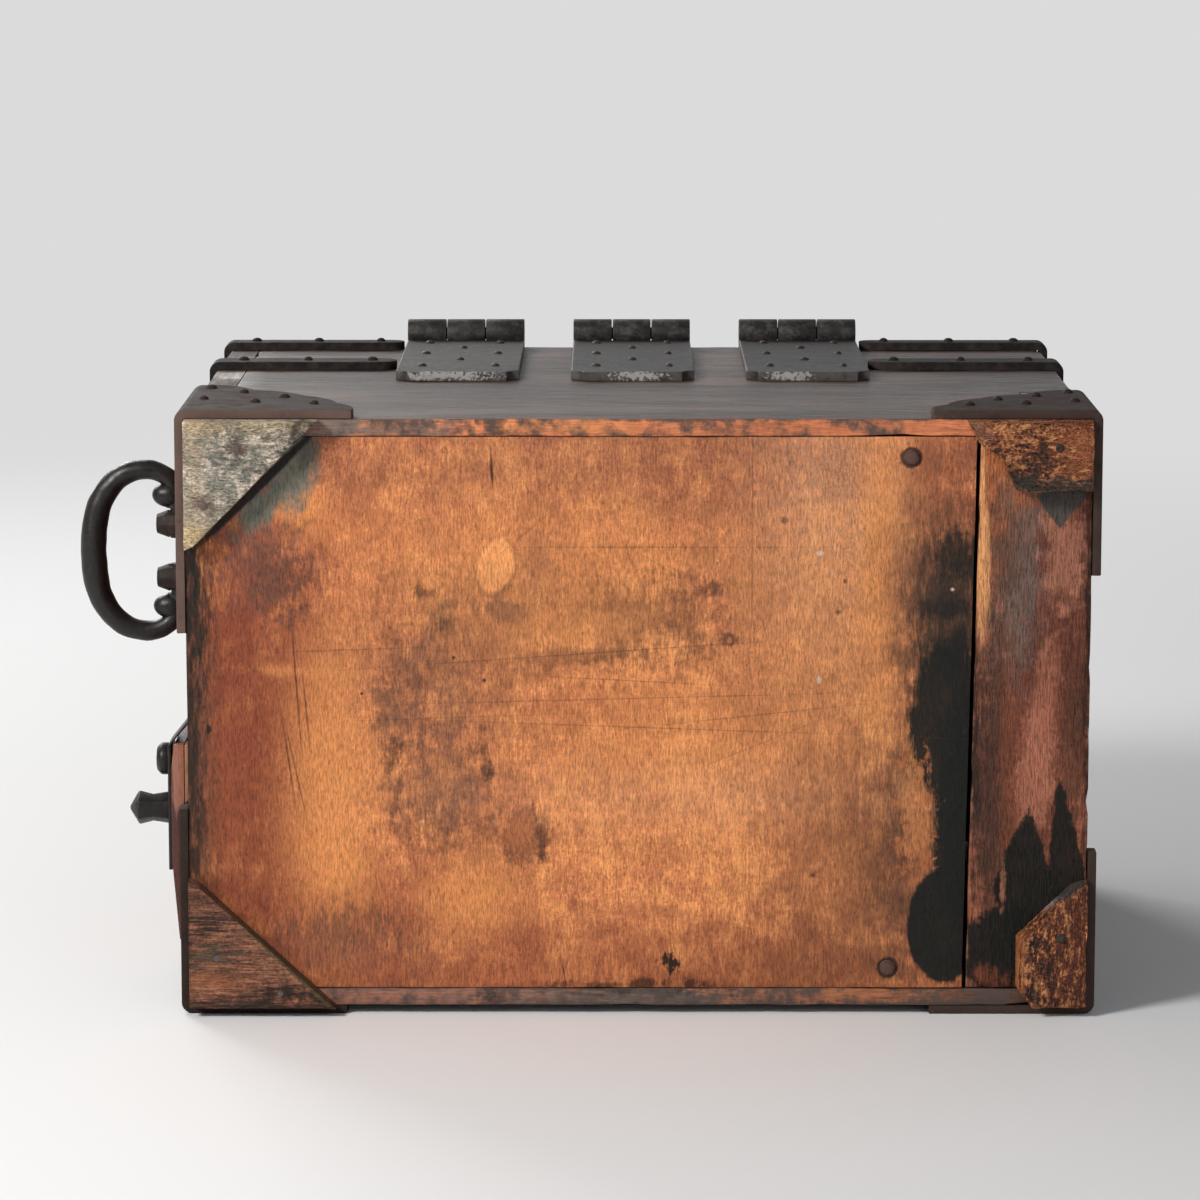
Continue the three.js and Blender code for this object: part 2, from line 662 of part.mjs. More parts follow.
function bail() {
  const pivot = PIVOT_OUT;
  const path = BAIL_SHARES.map(([out, up]) => new THREE.Vector3(-out * BAIL_REACH, 0, up * BAIL_HALF));
  const lower = path.slice(0, -1).reverse().map((spot) => new THREE.Vector3(spot.x, 0, -spot.z));
  const curve = new THREE.CatmullRomCurve3([...path, ...lower]);
  const radiusAt = (t) => BAIL_ARM + (BAIL_GRIP - BAIL_ARM) * Math.sin(Math.PI * t) ** 2;
  const pieces = [taperedTube(curve, radiusAt, BAIL_STEPS, BAIL_SIDES)];
  for (const side of [-1, 1]) {
    const knob = new THREE.SphereGeometry(KNOB, BAIL_SIDES, BAIL_SIDES / 2);
    pieces.push(knob.translate(-pivot - KNOB_OUT_SHARE * KNOB, 0, side * KNOB_UP));
    const end = POST_UP - POST;
    const trunnion = rod(TRUNNION, KNOB_UP - end, BAIL_SIDES);
    pieces.push(laid(trunnion, X, Y, Z.clone().multiplyScalar(side), [-pivot, 0, side * end]));
    const low = KNOB_UP - KNOB + FIT;
    const arm = rod(BAIL_ARM, BAIL_SHARES[0][1] * BAIL_HALF - low + FIT * 2, BAIL_SIDES);
    pieces.push(laid(arm, X, Y, Z.clone().multiplyScalar(side), [-pivot, 0, side * low]));
  }
  return joined(pieces);
}

function handlePost() {
  const seat = WASHER + FIT * 2;
  const profile = [
    [0, -BOARD], [POST_SHANK, -BOARD], [POST_SHANK, seat], [POST_NECK, seat], [POST_NECK, PIVOT_OUT - POST],
    [POST, PIVOT_OUT - POST / 2], [POST, PIVOT_OUT + POST / 2], [POST_TIP, POST_OUT], [0, POST_OUT],
  ];
  const body = laid(turned(profile, POST_SIDES), Y, Z, minus(X));
  const reach = POST + OVERRUN;
  const eye = laid(rod(TRUNNION + RUNNING, reach * 2, BAIL_SIDES), X, Y, Z, [-PIVOT_OUT, 0, -reach]);
  return joined([body], [eye]);
}

function washer() {
  return laid(ring(POST_SHANK + FIT, WASHER_RADIUS, WASHER, WASHER_SIDES), Y, Z, minus(X), [-FIT, 0, 0]);
}

// Guard bar on its spacers, with the strap, stud and turning post, drawn as outwards and up from the floor
const BAR_OUT = GUARD_STANDOFF + GUARD_BAR;
const STRAP_OUT = BAR_OUT + FIT + STRAP;
const MARK_Y = STRAP_INSET + STRAP_WIDTH / 2;

// Lays an outward and upward outline on the left wall and gives it its depth along y
function onWall(shape, deep, from) {
  return laid(plate(shape, deep), minus(X), Z, Y, [0, from, 0]);
}

function wallHole(radius, up) {
  return laid(rod(radius + RUNNING, STRAP_OUT + OVERRUN), Y, Z, minus(X), [0, MARK_Y, up]);
}

function guardBar() {
  const tall = GUARD_HIGH - GUARD_LOW;
  const bow = GUARD_BAR_SHARES.map(([out, up]) => [GUARD_STANDOFF + out * GUARD_BAR, GUARD_LOW + up * tall]);
  const shape = outline([[GUARD_STANDOFF, GUARD_LOW], ...bow, [GUARD_STANDOFF, GUARD_HIGH]]);
  return joined([onWall(shape, GUARD_DEEP, 0)], [wallHole(TURN_JOURNAL, TURN_UP)]);
}

function upperSpacer() {
  const inner = GUARD_STANDOFF - FIT;
  const low = GUARD_HIGH - SPACER_HIGH;
  const shape = outline([[FIT, low + SPACER_SLANT], [inner, low], [inner, GUARD_HIGH], [FIT, GUARD_HIGH]]);
  return joined([onWall(shape, GUARD_DEEP, 0)], [wallHole(TURN_JOURNAL, TURN_UP)]);
}

function lowerSpacer() {
  const inner = GUARD_STANDOFF - FIT;
  const low = SPACER_LOW_UP;
  const high = low + SPACER_LOW_TALL;
  const shape = outline([[FIT, low], [inner, low], [inner, high], [FIT, high]]);
  return onWall(shape, SPACER_LOW_DEEP, GUARD_DEEP - SPACER_LOW_DEEP);
}

function strap() {
  const seat = BAR_OUT + FIT;
  const shape = outline([
    [seat, STRAP_LOW], [seat + STRAP, STRAP_LOW], [seat + STRAP, GUARD_HIGH - STRAP],
    [FIT + STRAP, STRAP_TOP], [FIT + STRAP, STRAP_TOP + STRAP_FOOT], [FIT, STRAP_TOP + STRAP_FOOT],
    [FIT, STRAP_TOP], [seat - STRAP / 2, GUARD_HIGH + FIT], [seat, GUARD_HIGH - STRAP],
  ]);
  return joined([onWall(shape, STRAP_WIDTH, STRAP_INSET)], [wallHole(TURN_JOURNAL, TURN_UP)]);
}

function stud() {
  const profile = STUD_PROFILE_SHARES.map(([across, out]) => [across * STUD, out * STUD_OUT]);
  return laid(turned(profile, ROUND_SIDES), Y, Z, minus(X));
}

function turnPost() {
  const inside = BAR_OUT - GUARD_STANDOFF + STRAP + FIT;
  const profile = [
    [0, -inside], [TURN_JOURNAL, -inside], [TURN_JOURNAL, 0], [TURN_POST, 0],
    [TURN_WAIST, TURN_OUT * TURN_WAIST_SHARE], [TURN_FLARE, TURN_OUT - TURN_TIP], [0, TURN_OUT],
  ];
  return laid(turned(profile, TURN_SIDES), Y, Z, minus(X));
}

// Assembly of the case
add('case_top_board', topBoard(), darkWood);
add('case_corner_patch', cornerPatch(), darkWood);
add('case_bottom_board', bottomBoard(), darkWood);
add('case_left_board', leftBoard(), warmWood);
add('case_right_board', rightBoard(), warmWood);
add('case_shelf', shelf(), innerWood);
add('back_panel_main', mainPanel(), warmWood);
add('back_panel_strip', stripPanel(), warmWood);
for (const [name, place] of nailPlaces) add(name, nail(), rustedIron, place);

add('foot_top_left', foot(TRIANGLE_SHARES, FOOT_WIDE, FOOT_TALL, -1, 1), wornWood);
add('foot_bottom_left', foot(TRIANGLE_SHARES, FOOT_LOW_WIDE, FOOT_TALL, -1, -1), brokenWood);
add('foot_top_right', foot(BROKEN_SHARES, FOOT_BROKEN_WIDE, FOOT_BROKEN_TALL, 1, 1), brokenWood);
add('foot_bottom_right', foot(NARROW_SHARES, FOOT_NARROW_WIDE, FOOT_NARROW_TALL, 1, -1), brokenWood);

const irons = [
  ['top_left', TOP_LEFT_WIDE, LEFT_TALL, LEFT_DEEP, -1, 1],
  ['top_right', TOP_RIGHT_WIDE, RIGHT_TALL, RIGHT_DEEP, 1, 1],
  ['bottom_left', BOTTOM_WIDE, LEFT_LOW_TALL, RIGHT_DEEP, -1, -1],
  ['bottom_right', BOTTOM_WIDE, RIGHT_TALL, RIGHT_DEEP, 1, -1],
];
for (const [name, wide, tall, deep, sideX, sideZ] of irons) {
  const iron = cornerIron(wide, tall, deep, sideX, sideZ);
  add(`corner_iron_${name}`, iron, rustedIron, edgePlace(sideX, sideZ, BACK));
}

const nearBandY = BACK + HANDLE_FROM_BACK + WASHER_RADIUS + BAND_NEAR_TO_HANDLE;
const bands = [['near', BAND_NEAR, nearBandY], ['far', BAND_FAR, FRONT - BAND_FAR_FROM_FRONT]];
const edges = [['top_left', -1, 1], ['top_right', 1, 1], ['bottom_left', -1, -1], ['bottom_right', 1, -1]];
for (const [where, width, y] of bands) {
  for (const [name, sideX, sideZ] of edges) {
    const outerHinge = sideX < 0 ? hingeX(0) : hingeX(HINGES - 1);
    const end = outerHinge + sideX * (HINGE_WIDTH / 2 + BAND_TO_HINGE);
    const length = sideZ > 0 ? Math.abs(sideX * CASE_WIDTH / 2 - end) : BAND_UNDER;
    const iron = band(length, width, sideX, sideZ);
    add(`band_${where}_${name}`, iron, rustedIron, edgePlace(sideX, sideZ, y));
  }
}

// Assembly of the door on its hinges
const door = new THREE.Group();
chest.add(door);
for (let i = 0; i < HINGES; i += 1) {
  const axis = [hingeX(i), AXIS_Y, AXIS_Z];
  add(`hinge_${i + 1}_case_leaf`, caseLeaf(), steelGrey, axis);
  add(`hinge_${i + 1}_pin`, hingePin(), steelGrey, axis);
  add(`hinge_${i + 1}_door_leaf`, doorLeaf(), steelGrey, axis, door);
}
const doorBoard = block([DOOR_LEFT, DOOR_BACK, DOOR_BOTTOM], [DOOR_RIGHT, FRONT, DOOR_TOP]);
add('door_board', doorBoard, warmWood, [0, 0, 0], door);
for (const [name, side] of [['left', -1], ['right', 1]]) {
  const middle = side * (DOOR_RIGHT - BATTEN_FROM_SIDE);
  const low = [middle - BATTEN_WIDTH / 2, DOOR_BACK - FIT - BATTEN, DOOR_BOTTOM + BATTEN_SHORT];
  const high = [middle + BATTEN_WIDTH / 2, DOOR_BACK - FIT, DOOR_TOP - BATTEN_SHORT];
  add(`door_batten_${name}`, block(low, high), innerWood, [0, 0, 0], door);
}
for (const [name, sideX, sideZ] of edges) {
  const x = sideX * (DOOR_RIGHT - DOOR_IRON_EDGE);
  const z = sideZ > 0 ? DOOR_TOP - DOOR_IRON_EDGE : DOOR_BOTTOM + DOOR_IRON_EDGE;
  add(`door_corner_iron_${name}`, doorIron(sideX, sideZ), rustedIron, [x, FRONT + FIT, z], door);
}
add('lock_plate', lockPlate(), steelGrey, [0, FRONT + FIT, DOOR_BOTTOM + LOCK_PLATE_EDGE], door);
add('lock_case', lockCase(), blackIron, [0, DOOR_BACK - FIT, DOOR_BOTTOM + LOCK_SETUP], door);
const boltLow = [-BOLT_WIDTH / 2, DOOR_BACK - FIT - BOLT_RUNNING - BOLT_THICK, DOOR_BOTTOM + LOCK_SETUP];
const boltHigh = [BOLT_WIDTH / 2, boltLow[1] + BOLT_THICK, boltLow[2] + BOLT_LENGTH];
add('lock_bolt', block(boltLow, boltHigh), blackIron);

// Assembly of the handle on the left wall
const handleY = BACK + HANDLE_FROM_BACK;
add('handle_bail', bail(), blackIron, [LEFT, handleY, BOTTOM + HANDLE_UP]);
for (const [i, name] of ['lower', 'upper'].entries()) {
  add(`handle_post_${name}`, handlePost(), blackIron, [LEFT, handleY, handleUps[i]]);
  add(`handle_washer_${name}`, washer(), blackIron, [LEFT, handleY, handleUps[i]]);
}

// Assembly of the guard bar on the left wall
const guard = new THREE.Group();
guard.position.set(LEFT, BACK + GUARD_FROM_BACK, BOTTOM);
chest.add(guard);
add('guard_bar', guardBar(), lacquer, [0, 0, 0], guard);
add('guard_spacer_upper', upperSpacer(), rawWood, [0, 0, 0], guard);
add('guard_spacer_lower', lowerSpacer(), rawWood, [0, 0, 0], guard);
add('guard_strap', strap(), blackIron, [0, 0, 0], guard);
add('guard_stud', stud(), blackIron, [-STRAP_OUT - FIT, MARK_Y, STUD_UP], guard);
add('turn_post', turnPost(), blackIron, [-STRAP_OUT - FIT, MARK_Y, TURN_UP], guard);

export default chest;
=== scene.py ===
import json
from math import cos, pi, radians, sin

import bmesh
import bpy
from mathutils import Matrix, Vector, noise


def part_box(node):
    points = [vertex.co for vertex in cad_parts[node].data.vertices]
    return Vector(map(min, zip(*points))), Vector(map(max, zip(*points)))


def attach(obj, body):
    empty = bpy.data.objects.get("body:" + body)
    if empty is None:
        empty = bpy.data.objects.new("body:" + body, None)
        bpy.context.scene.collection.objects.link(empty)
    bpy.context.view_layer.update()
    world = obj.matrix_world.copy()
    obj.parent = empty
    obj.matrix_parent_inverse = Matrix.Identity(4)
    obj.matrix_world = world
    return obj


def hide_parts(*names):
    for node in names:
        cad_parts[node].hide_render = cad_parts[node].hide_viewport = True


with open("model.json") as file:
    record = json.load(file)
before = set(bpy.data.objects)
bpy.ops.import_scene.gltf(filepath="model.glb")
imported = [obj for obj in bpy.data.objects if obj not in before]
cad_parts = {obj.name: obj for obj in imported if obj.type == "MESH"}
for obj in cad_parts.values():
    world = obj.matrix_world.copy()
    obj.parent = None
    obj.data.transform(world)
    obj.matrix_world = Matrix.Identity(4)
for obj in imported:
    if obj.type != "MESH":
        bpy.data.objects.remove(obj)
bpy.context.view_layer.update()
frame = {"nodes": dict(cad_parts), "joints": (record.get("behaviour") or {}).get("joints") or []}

# A ship's chest of wood and iron, lying on one long side with its back towards the camera.
# Metres, +Z up, with the pieces in the order in which the chest is put together.
MM = 0.001

# Camera, in front of the back panel and a little above it
CAMERA_PLACE = (0.02, -2.684, 0.619)
CAMERA_PITCH = 0.1575
CAMERA_YAW = 0.0027
LENS = 147
LENS_FRAME = 36
camera = bpy.data.objects.new("camera", bpy.data.cameras.new("camera"))
camera.location = CAMERA_PLACE
camera.rotation_euler = (pi / 2 - CAMERA_PITCH, 0, CAMERA_YAW)
camera.data.sensor_width = LENS_FRAME
camera.data.lens = LENS
bpy.context.scene.collection.objects.link(camera)
bpy.context.scene.camera = camera

# Light: a soft key from the upper left, a weak fill from the right and an even sky
bpy.context.scene.view_settings.view_transform = "Standard"
AIM = Vector((0, 0, 0.15))
SKY_TONE = (0.9, 0.92, 0.95)
SKY_STRENGTH = 0.26
LIGHTS = {
    # name: place, width and height, power, tint
    "key_light": ((-1.7, -1.6, 1.6), (0.6, 0.6), 66, (1.0, 0.98, 0.95)),
    "front_fill": ((0.9, -2.4, 0.9), (1.6, 1.2), 9, (0.97, 0.98, 1.0)),
    "top_fill": ((-1.1, 0.7, 1.7), (1.2, 0.8), 4, (0.98, 0.99, 1.0)),
    "rear_key": ((-1.2, 2.2, 1.6), (1.2, 1.0), 44, (1.0, 0.99, 0.97)),
}
for name, (place, size, power, tint) in LIGHTS.items():
    lamp = bpy.data.lights.new(name, "AREA")
    lamp.shape = "RECTANGLE"
    lamp.size, lamp.size_y = size
    lamp.energy = power
    lamp.color = tint
    holder = bpy.data.objects.new(name, lamp)
    holder.location = place
    holder.rotation_euler = (AIM - Vector(place)).to_track_quat("-Z", "Y").to_euler()
    bpy.context.scene.collection.objects.link(holder)

world = bpy.data.worlds.new("studio")
bpy.context.scene.world = world
world.use_nodes = True
sky = world.node_tree.nodes["Background"]
sky.inputs["Color"].default_value = (*SKY_TONE, 1)
sky.inputs["Strength"].default_value = SKY_STRENGTH


# Floor and backdrop: one pale painted sheet that lies flat under the chest and sweeps up behind it.
# Far from the chest it shows an even tone of its own, so that the wall has no shade.
FLOOR_HALF = 9.0
FLOOR_NEAR = -8.0
SWEEP_FROM = 3.9
SWEEP = 1.2
SWEEP_STEPS = 16
BACKDROP_HEIGHT = 4.0
FLOOR_TONE = (0.74, 0.74, 0.745)
FLOOR_ROUGH = 0.9
FAR_TONE = (0.71, 0.71, 0.715)
FAR_FROM = 0.7
FAR_TO = 2.4


def points_in(geometry):
    return [part for part in geometry if isinstance(part, bmesh.types.BMVert)]


def edges_in(geometry):
    return [part for part in geometry if isinstance(part, bmesh.types.BMEdge)]


def wire(tree, kind, inputs=None, **settings):
    """Adds a node to a finish, and joins or sets its inputs."""
    made = tree.nodes.new("ShaderNode" + kind)
    for label, value in settings.items():
        setattr(made, label, value)
    for label, value in (inputs or {}).items():
        if isinstance(value, bpy.types.NodeSocket):
            tree.links.new(value, made.inputs[label])
        else:
            made.inputs[label].default_value = value
    return made


def math(tree, operation, *values, clamp=False):
    inputs = dict(enumerate(values))
    return wire(tree, "Math", inputs, operation=operation, use_clamp=clamp).outputs[0]


def vectors(tree, operation, *values):
    return wire(tree, "VectorMath", dict(enumerate(values)), operation=operation).outputs


def stretch(tree, value, low, high, to_low=0.0, to_high=1.0):
    """Spreads what lies between low and high over the new range, with soft ends."""
    inputs = {"Value": value, "From Min": low, "From Max": high, "To Min": to_low, "To Max": to_high}
    return wire(tree, "MapRange", inputs, interpolation_type="SMOOTHSTEP").outputs[0]


def new_finish(name):
    """Starts a material, and gives it with its node tree and its shader."""
    material = bpy.data.materials.new(name)
    material.use_nodes = True
    return material, material.node_tree, material.node_tree.nodes["Principled BSDF"]


shape = bmesh.new()
near = [shape.verts.new((side * FLOOR_HALF, FLOOR_NEAR, 0)) for side in (-1, 1)]
out = bmesh.ops.extrude_edge_only(shape, edges=[shape.edges.new(near)])["geom"]
bmesh.ops.translate(shape, verts=points_in(out), vec=(0, SWEEP_FROM - FLOOR_NEAR, 0))
out = bmesh.ops.spin(
    shape, geom=edges_in(out), cent=(0, SWEEP_FROM, SWEEP), axis=(1, 0, 0), angle=pi / 2,
    steps=SWEEP_STEPS, use_merge=False,
)["geom_last"]
out = bmesh.ops.extrude_edge_only(shape, edges=edges_in(out))["geom"]
bmesh.ops.translate(shape, verts=points_in(out), vec=(0, 0, BACKDROP_HEIGHT))
bmesh.ops.recalc_face_normals(shape, faces=shape.faces)
floor_mesh = bpy.data.meshes.new("floor")
shape.to_mesh(floor_mesh)
shape.free()
for face in floor_mesh.polygons:
    face.use_smooth = True
floor_paint, tree, shader = new_finish("floor_paint")
shader.inputs["Base Color"].default_value = (*FLOOR_TONE, 1)
shader.inputs["Roughness"].default_value = FLOOR_ROUGH
place = wire(tree, "TexCoord").outputs["Object"]
far = stretch(tree, vectors(tree, "LENGTH", place)["Value"], FAR_FROM, FAR_TO)
rays = wire(tree, "LightPath").outputs
seen = math(tree, "MAXIMUM", rays["Is Camera Ray"], rays["Is Glossy Ray"])
seen = math(tree, "MAXIMUM", seen, rays["Is Transmission Ray"])
even_tone = wire(tree, "Emission", {"Color": (*FAR_TONE, 1)}).outputs[0]
share = math(tree, "MULTIPLY", seen, far)
both = wire(tree, "MixShader", {"Fac": share, 1: shader.outputs[0], 2: even_tone}).outputs[0]
tree.links.new(both, tree.nodes["Material Output"].inputs["Surface"])
floor_mesh.materials.append(floor_paint)
floor = bpy.data.objects.new("floor", floor_mesh)
bpy.context.scene.collection.objects.link(floor)


# Boards of the case: five softwood boards, planed by hand and nailed at the corners.
# Their edges are rounded and bruised by use, and the faces are lacquered dark where they show.
# The top and bottom boards are rebated at the back, so a narrow lip of each frames the panel.
BOARD_ROUND = 1.1 * MM
BOARD_CUTS = 14 * MM
BOARD_BRUISE = 0.9 * MM
BRUISE_SCALE = 60
SHELF_BRUISE_SCALE = 40
# How near points are merged, how near a cut keeps to them, and what bend still counts as flat
MERGE = 1e-5
CLOSE = 1e-6
FLAT = radians(1)
CREASE = radians(30)
SMOOTH = radians(38)
EDGE_FULL = 0.45
SWAY_SHARE = 0.4
DENT_FINENESS = 1.7
DENT_SHIFT = Vector((7, 3, 5))
DENT_SHARE = 3
NOISE_SEED = 11
noise.seed_set(NOISE_SEED)


def ramp(tree, value, stops):
    """Turns a value into a tone by stops of place and tone, where a plain number is a grey."""
    made = wire(tree, "ValToRGB", {"Fac": value})
    elements = made.color_ramp.elements
    while len(elements) < len(stops):
        elements.new(1.0)
    for element, (place, tone) in zip(elements, stops):
        element.position = place
        element.color = (*tone, 1) if isinstance(tone, tuple) else (tone, tone, tone, 1)
    return made.outputs["Color"]


def mix(tree, share, under, over, blend="MIX"):
    """Lays one tone over another, by a share or a mask."""
    tones = [(*tone, 1) if isinstance(tone, tuple) else tone for tone in (under, over)]
    inputs = {"Fac": share, "Color1": tones[0], "Color2": tones[1]}
    return wire(tree, "MixRGB", inputs, blend_type=blend).outputs[0]


def cloudy(tree, place, scale, detail, roughness, distortion=0.0):
    """Soft noise, finer for a larger scale."""
    inputs = {
        "Vector": place, "Scale": scale, "Detail": detail, "Roughness": roughness, "Distortion": distortion,
    }
    return wire(tree, "TexNoise", inputs).outputs["Fac"]


def open_group(name, inputs, outputs):
    """Starts a shared effect with named sockets."""
    tree = bpy.data.node_groups.new(name, "ShaderNodeTree")
    for label, value in inputs.items():
        kind = "NodeSocketFloat" if isinstance(value, float) else "NodeSocketVector"
        tree.interface.new_socket(label, in_out="INPUT", socket_type=kind).default_value = value
    for label in outputs:
        tree.interface.new_socket(label, in_out="OUTPUT", socket_type="NodeSocketFloat")
    return tree, tree.nodes.new("NodeGroupInput").outputs, tree.nodes.new("NodeGroupOutput").inputs


def place_group(tree, group, inputs):
    return wire(tree, "Group", inputs, node_tree=group).outputs


# Wood grain: fine fibres, broad bands and short pores, drawn out along the run of the board
PLAIN_SHARE = 0.15
# Noises: scale, detail, roughness and distortion, where a band takes its scale from its wood
FIBRE_NOISE = (1100.0, 3.0, 0.62, 0.25)
BAND_NOISE = (4.0, 0.6, 0.4)
PORE_NOISE = (2100.0, 1.0, 0.5)
STREAK_NOISE = (420.0, 4.0, 0.68)
GRAIN, given, result = open_group(
    "wood_grain", {"Vector": (0, 0, 0), "Run": (1, 1, 0.1), "Band Scale": 14.0},
    ("Fibre", "Band", "Pores", "Streak"),
)
run = vectors(GRAIN, "MULTIPLY", given["Vector"], given["Run"])[0]
plain = vectors(GRAIN, "MULTIPLY", given["Vector"], (PLAIN_SHARE, PLAIN_SHARE, PLAIN_SHARE))[0]
wide_run = vectors(GRAIN, "ADD", plain, run)[0]
fibre = cloudy(GRAIN, run, *FIBRE_NOISE)
band = cloudy(GRAIN, wide_run, given["Band Scale"], *BAND_NOISE)
pores = cloudy(GRAIN, run, *PORE_NOISE)
streak = cloudy(GRAIN, run, *STREAK_NOISE)
for label, value, low, high in (
    ("Fibre", fibre, 0.3, 0.72), ("Band", band, 0.3, 0.7), ("Pores", pores, 0.62, 0.72),
    ("Streak", streak, 0.28, 0.72),
):
    GRAIN.links.new(stretch(GRAIN, value, low, high), result[label])

# A patch for stains and painted light alike: an oval or pointed patch with a soft and ragged outline,
# turned about one axis
STAIN_AND_PAINTED_LIGHT, given, result = open_group(
    "stain_and_painted_light",
    {"Vector": (0, 0, 0), "Centre": (0, 0, 0), "Half": (1, 1, 1), "Turn": 0.0, "Soft": 0.3,
     "Ragged": 0.3, "Noise": 0.5, "Strength": 1.0, "Pointed": 0.0},
    ("Mask",),
)
away = vectors(STAIN_AND_PAINTED_LIGHT, "SUBTRACT", given["Vector"], given["Centre"])[0]
turned = wire(STAIN_AND_PAINTED_LIGHT, "VectorRotate", {"Vector": away, "Axis": (0, 1, 0), "Angle": given["Turn"]}).outputs[0]
share = vectors(STAIN_AND_PAINTED_LIGHT, "DIVIDE", turned, given["Half"])[0]
oval = vectors(STAIN_AND_PAINTED_LIGHT, "LENGTH", share)["Value"]
spread = vectors(STAIN_AND_PAINTED_LIGHT, "ABSOLUTE", share)[0]
pointed = vectors(STAIN_AND_PAINTED_LIGHT, "DOT_PRODUCT", spread, (1, 1, 1))["Value"]
corner = math(STAIN_AND_PAINTED_LIGHT, "MULTIPLY", math(STAIN_AND_PAINTED_LIGHT, "SUBTRACT", pointed, oval), given["Pointed"])
reach = math(STAIN_AND_PAINTED_LIGHT, "ADD", oval, corner)
torn = math(STAIN_AND_PAINTED_LIGHT, "MULTIPLY", math(STAIN_AND_PAINTED_LIGHT, "SUBTRACT", given["Noise"], 0.5), given["Ragged"])
reach = math(STAIN_AND_PAINTED_LIGHT, "ADD", reach, math(STAIN_AND_PAINTED_LIGHT, "MULTIPLY", torn, 2.0))
inner = math(STAIN_AND_PAINTED_LIGHT, "SUBTRACT", 1.0, given["Soft"])
outer = math(STAIN_AND_PAINTED_LIGHT, "ADD", 1.0, given["Soft"])
patch = stretch(STAIN_AND_PAINTED_LIGHT, reach, inner, outer, 1.0, 0.0)
STAIN_AND_PAINTED_LIGHT.links.new(math(STAIN_AND_PAINTED_LIGHT, "MULTIPLY", patch, given["Strength"]), result["Mask"])

# Wear: a worn edge, broken up by noise, from the piece's own edge attribute
WEAR, given, result = open_group(
    "edge_wear", {"Vector": (0, 0, 0), "Edge": 0.0, "Amount": 0.6, "Scale": 120.0}, ("Mask",),
)
rub = cloudy(WEAR, given["Vector"], given["Scale"], 4.0, 0.65)
close = math(WEAR, "MULTIPLY", math(WEAR, "POWER", given["Edge"], 3.0), given["Amount"])
rub = math(WEAR, "ADD", close, math(WEAR, "SUBTRACT", rub, 0.5))
WEAR.links.new(stretch(WEAR, rub, 0.22, 0.55), result["Mask"])


def lay_stain_and_painted_light(tree, place, tone, stain_and_painted_light, edge_noise):
    """Lays a patch of colour, centre, half sizes, turn, softness, raggedness and strength over a tone;
    stains and painted light use it alike.
    """
    colour, centre, half, turn, soft, ragged, strength, *pointed = stain_and_painted_light
    mask = place_group(tree, STAIN_AND_PAINTED_LIGHT, {
        "Vector": place, "Centre": centre, "Half": half, "Turn": radians(turn), "Soft": soft,
        "Ragged": ragged, "Noise": edge_noise, "Strength": strength, "Pointed": sum(pointed, 0.0),
    })["Mask"]
    return mix(tree, mask, tone, colour)


def roughen(tree, shader, height, strength, distance):
    """Gives a finish its surface from a height."""
    bump = wire(tree, "Bump", {"Strength": strength, "Distance": distance, "Height": height})
    tree.links.new(bump.outputs["Normal"], shader.inputs["Normal"])


WOOD_DEPTH = 0.6 * MM
CLOUD_NOISE = (40.0, 5.0, 0.62)
SMUDGE_NOISE = (130.0, 5.0, 0.68)
FLECK_NOISE = (620.0, 3.0, 0.65)
RIPPLE_NOISE = (3.0, 0.6)
PORE_DARK = 0.6
FIBRE_HEIGHT = 0.6
PORE_HEIGHT = -0.8
FLECK_HEIGHT = 0.25
STREAK_HEIGHT = 0.4
PORE_SHADE = (0.45, 0.36, 0.33)
FIBRE_SHADES = [(0.0, 0.5), (0.5, 1.0), (1.0, 1.35)]
RIPPLE_SHADES = [(0.3, 0.6), (0.7, 1.3)]
RIPPLE_RUN = (0.2, 1, 1)


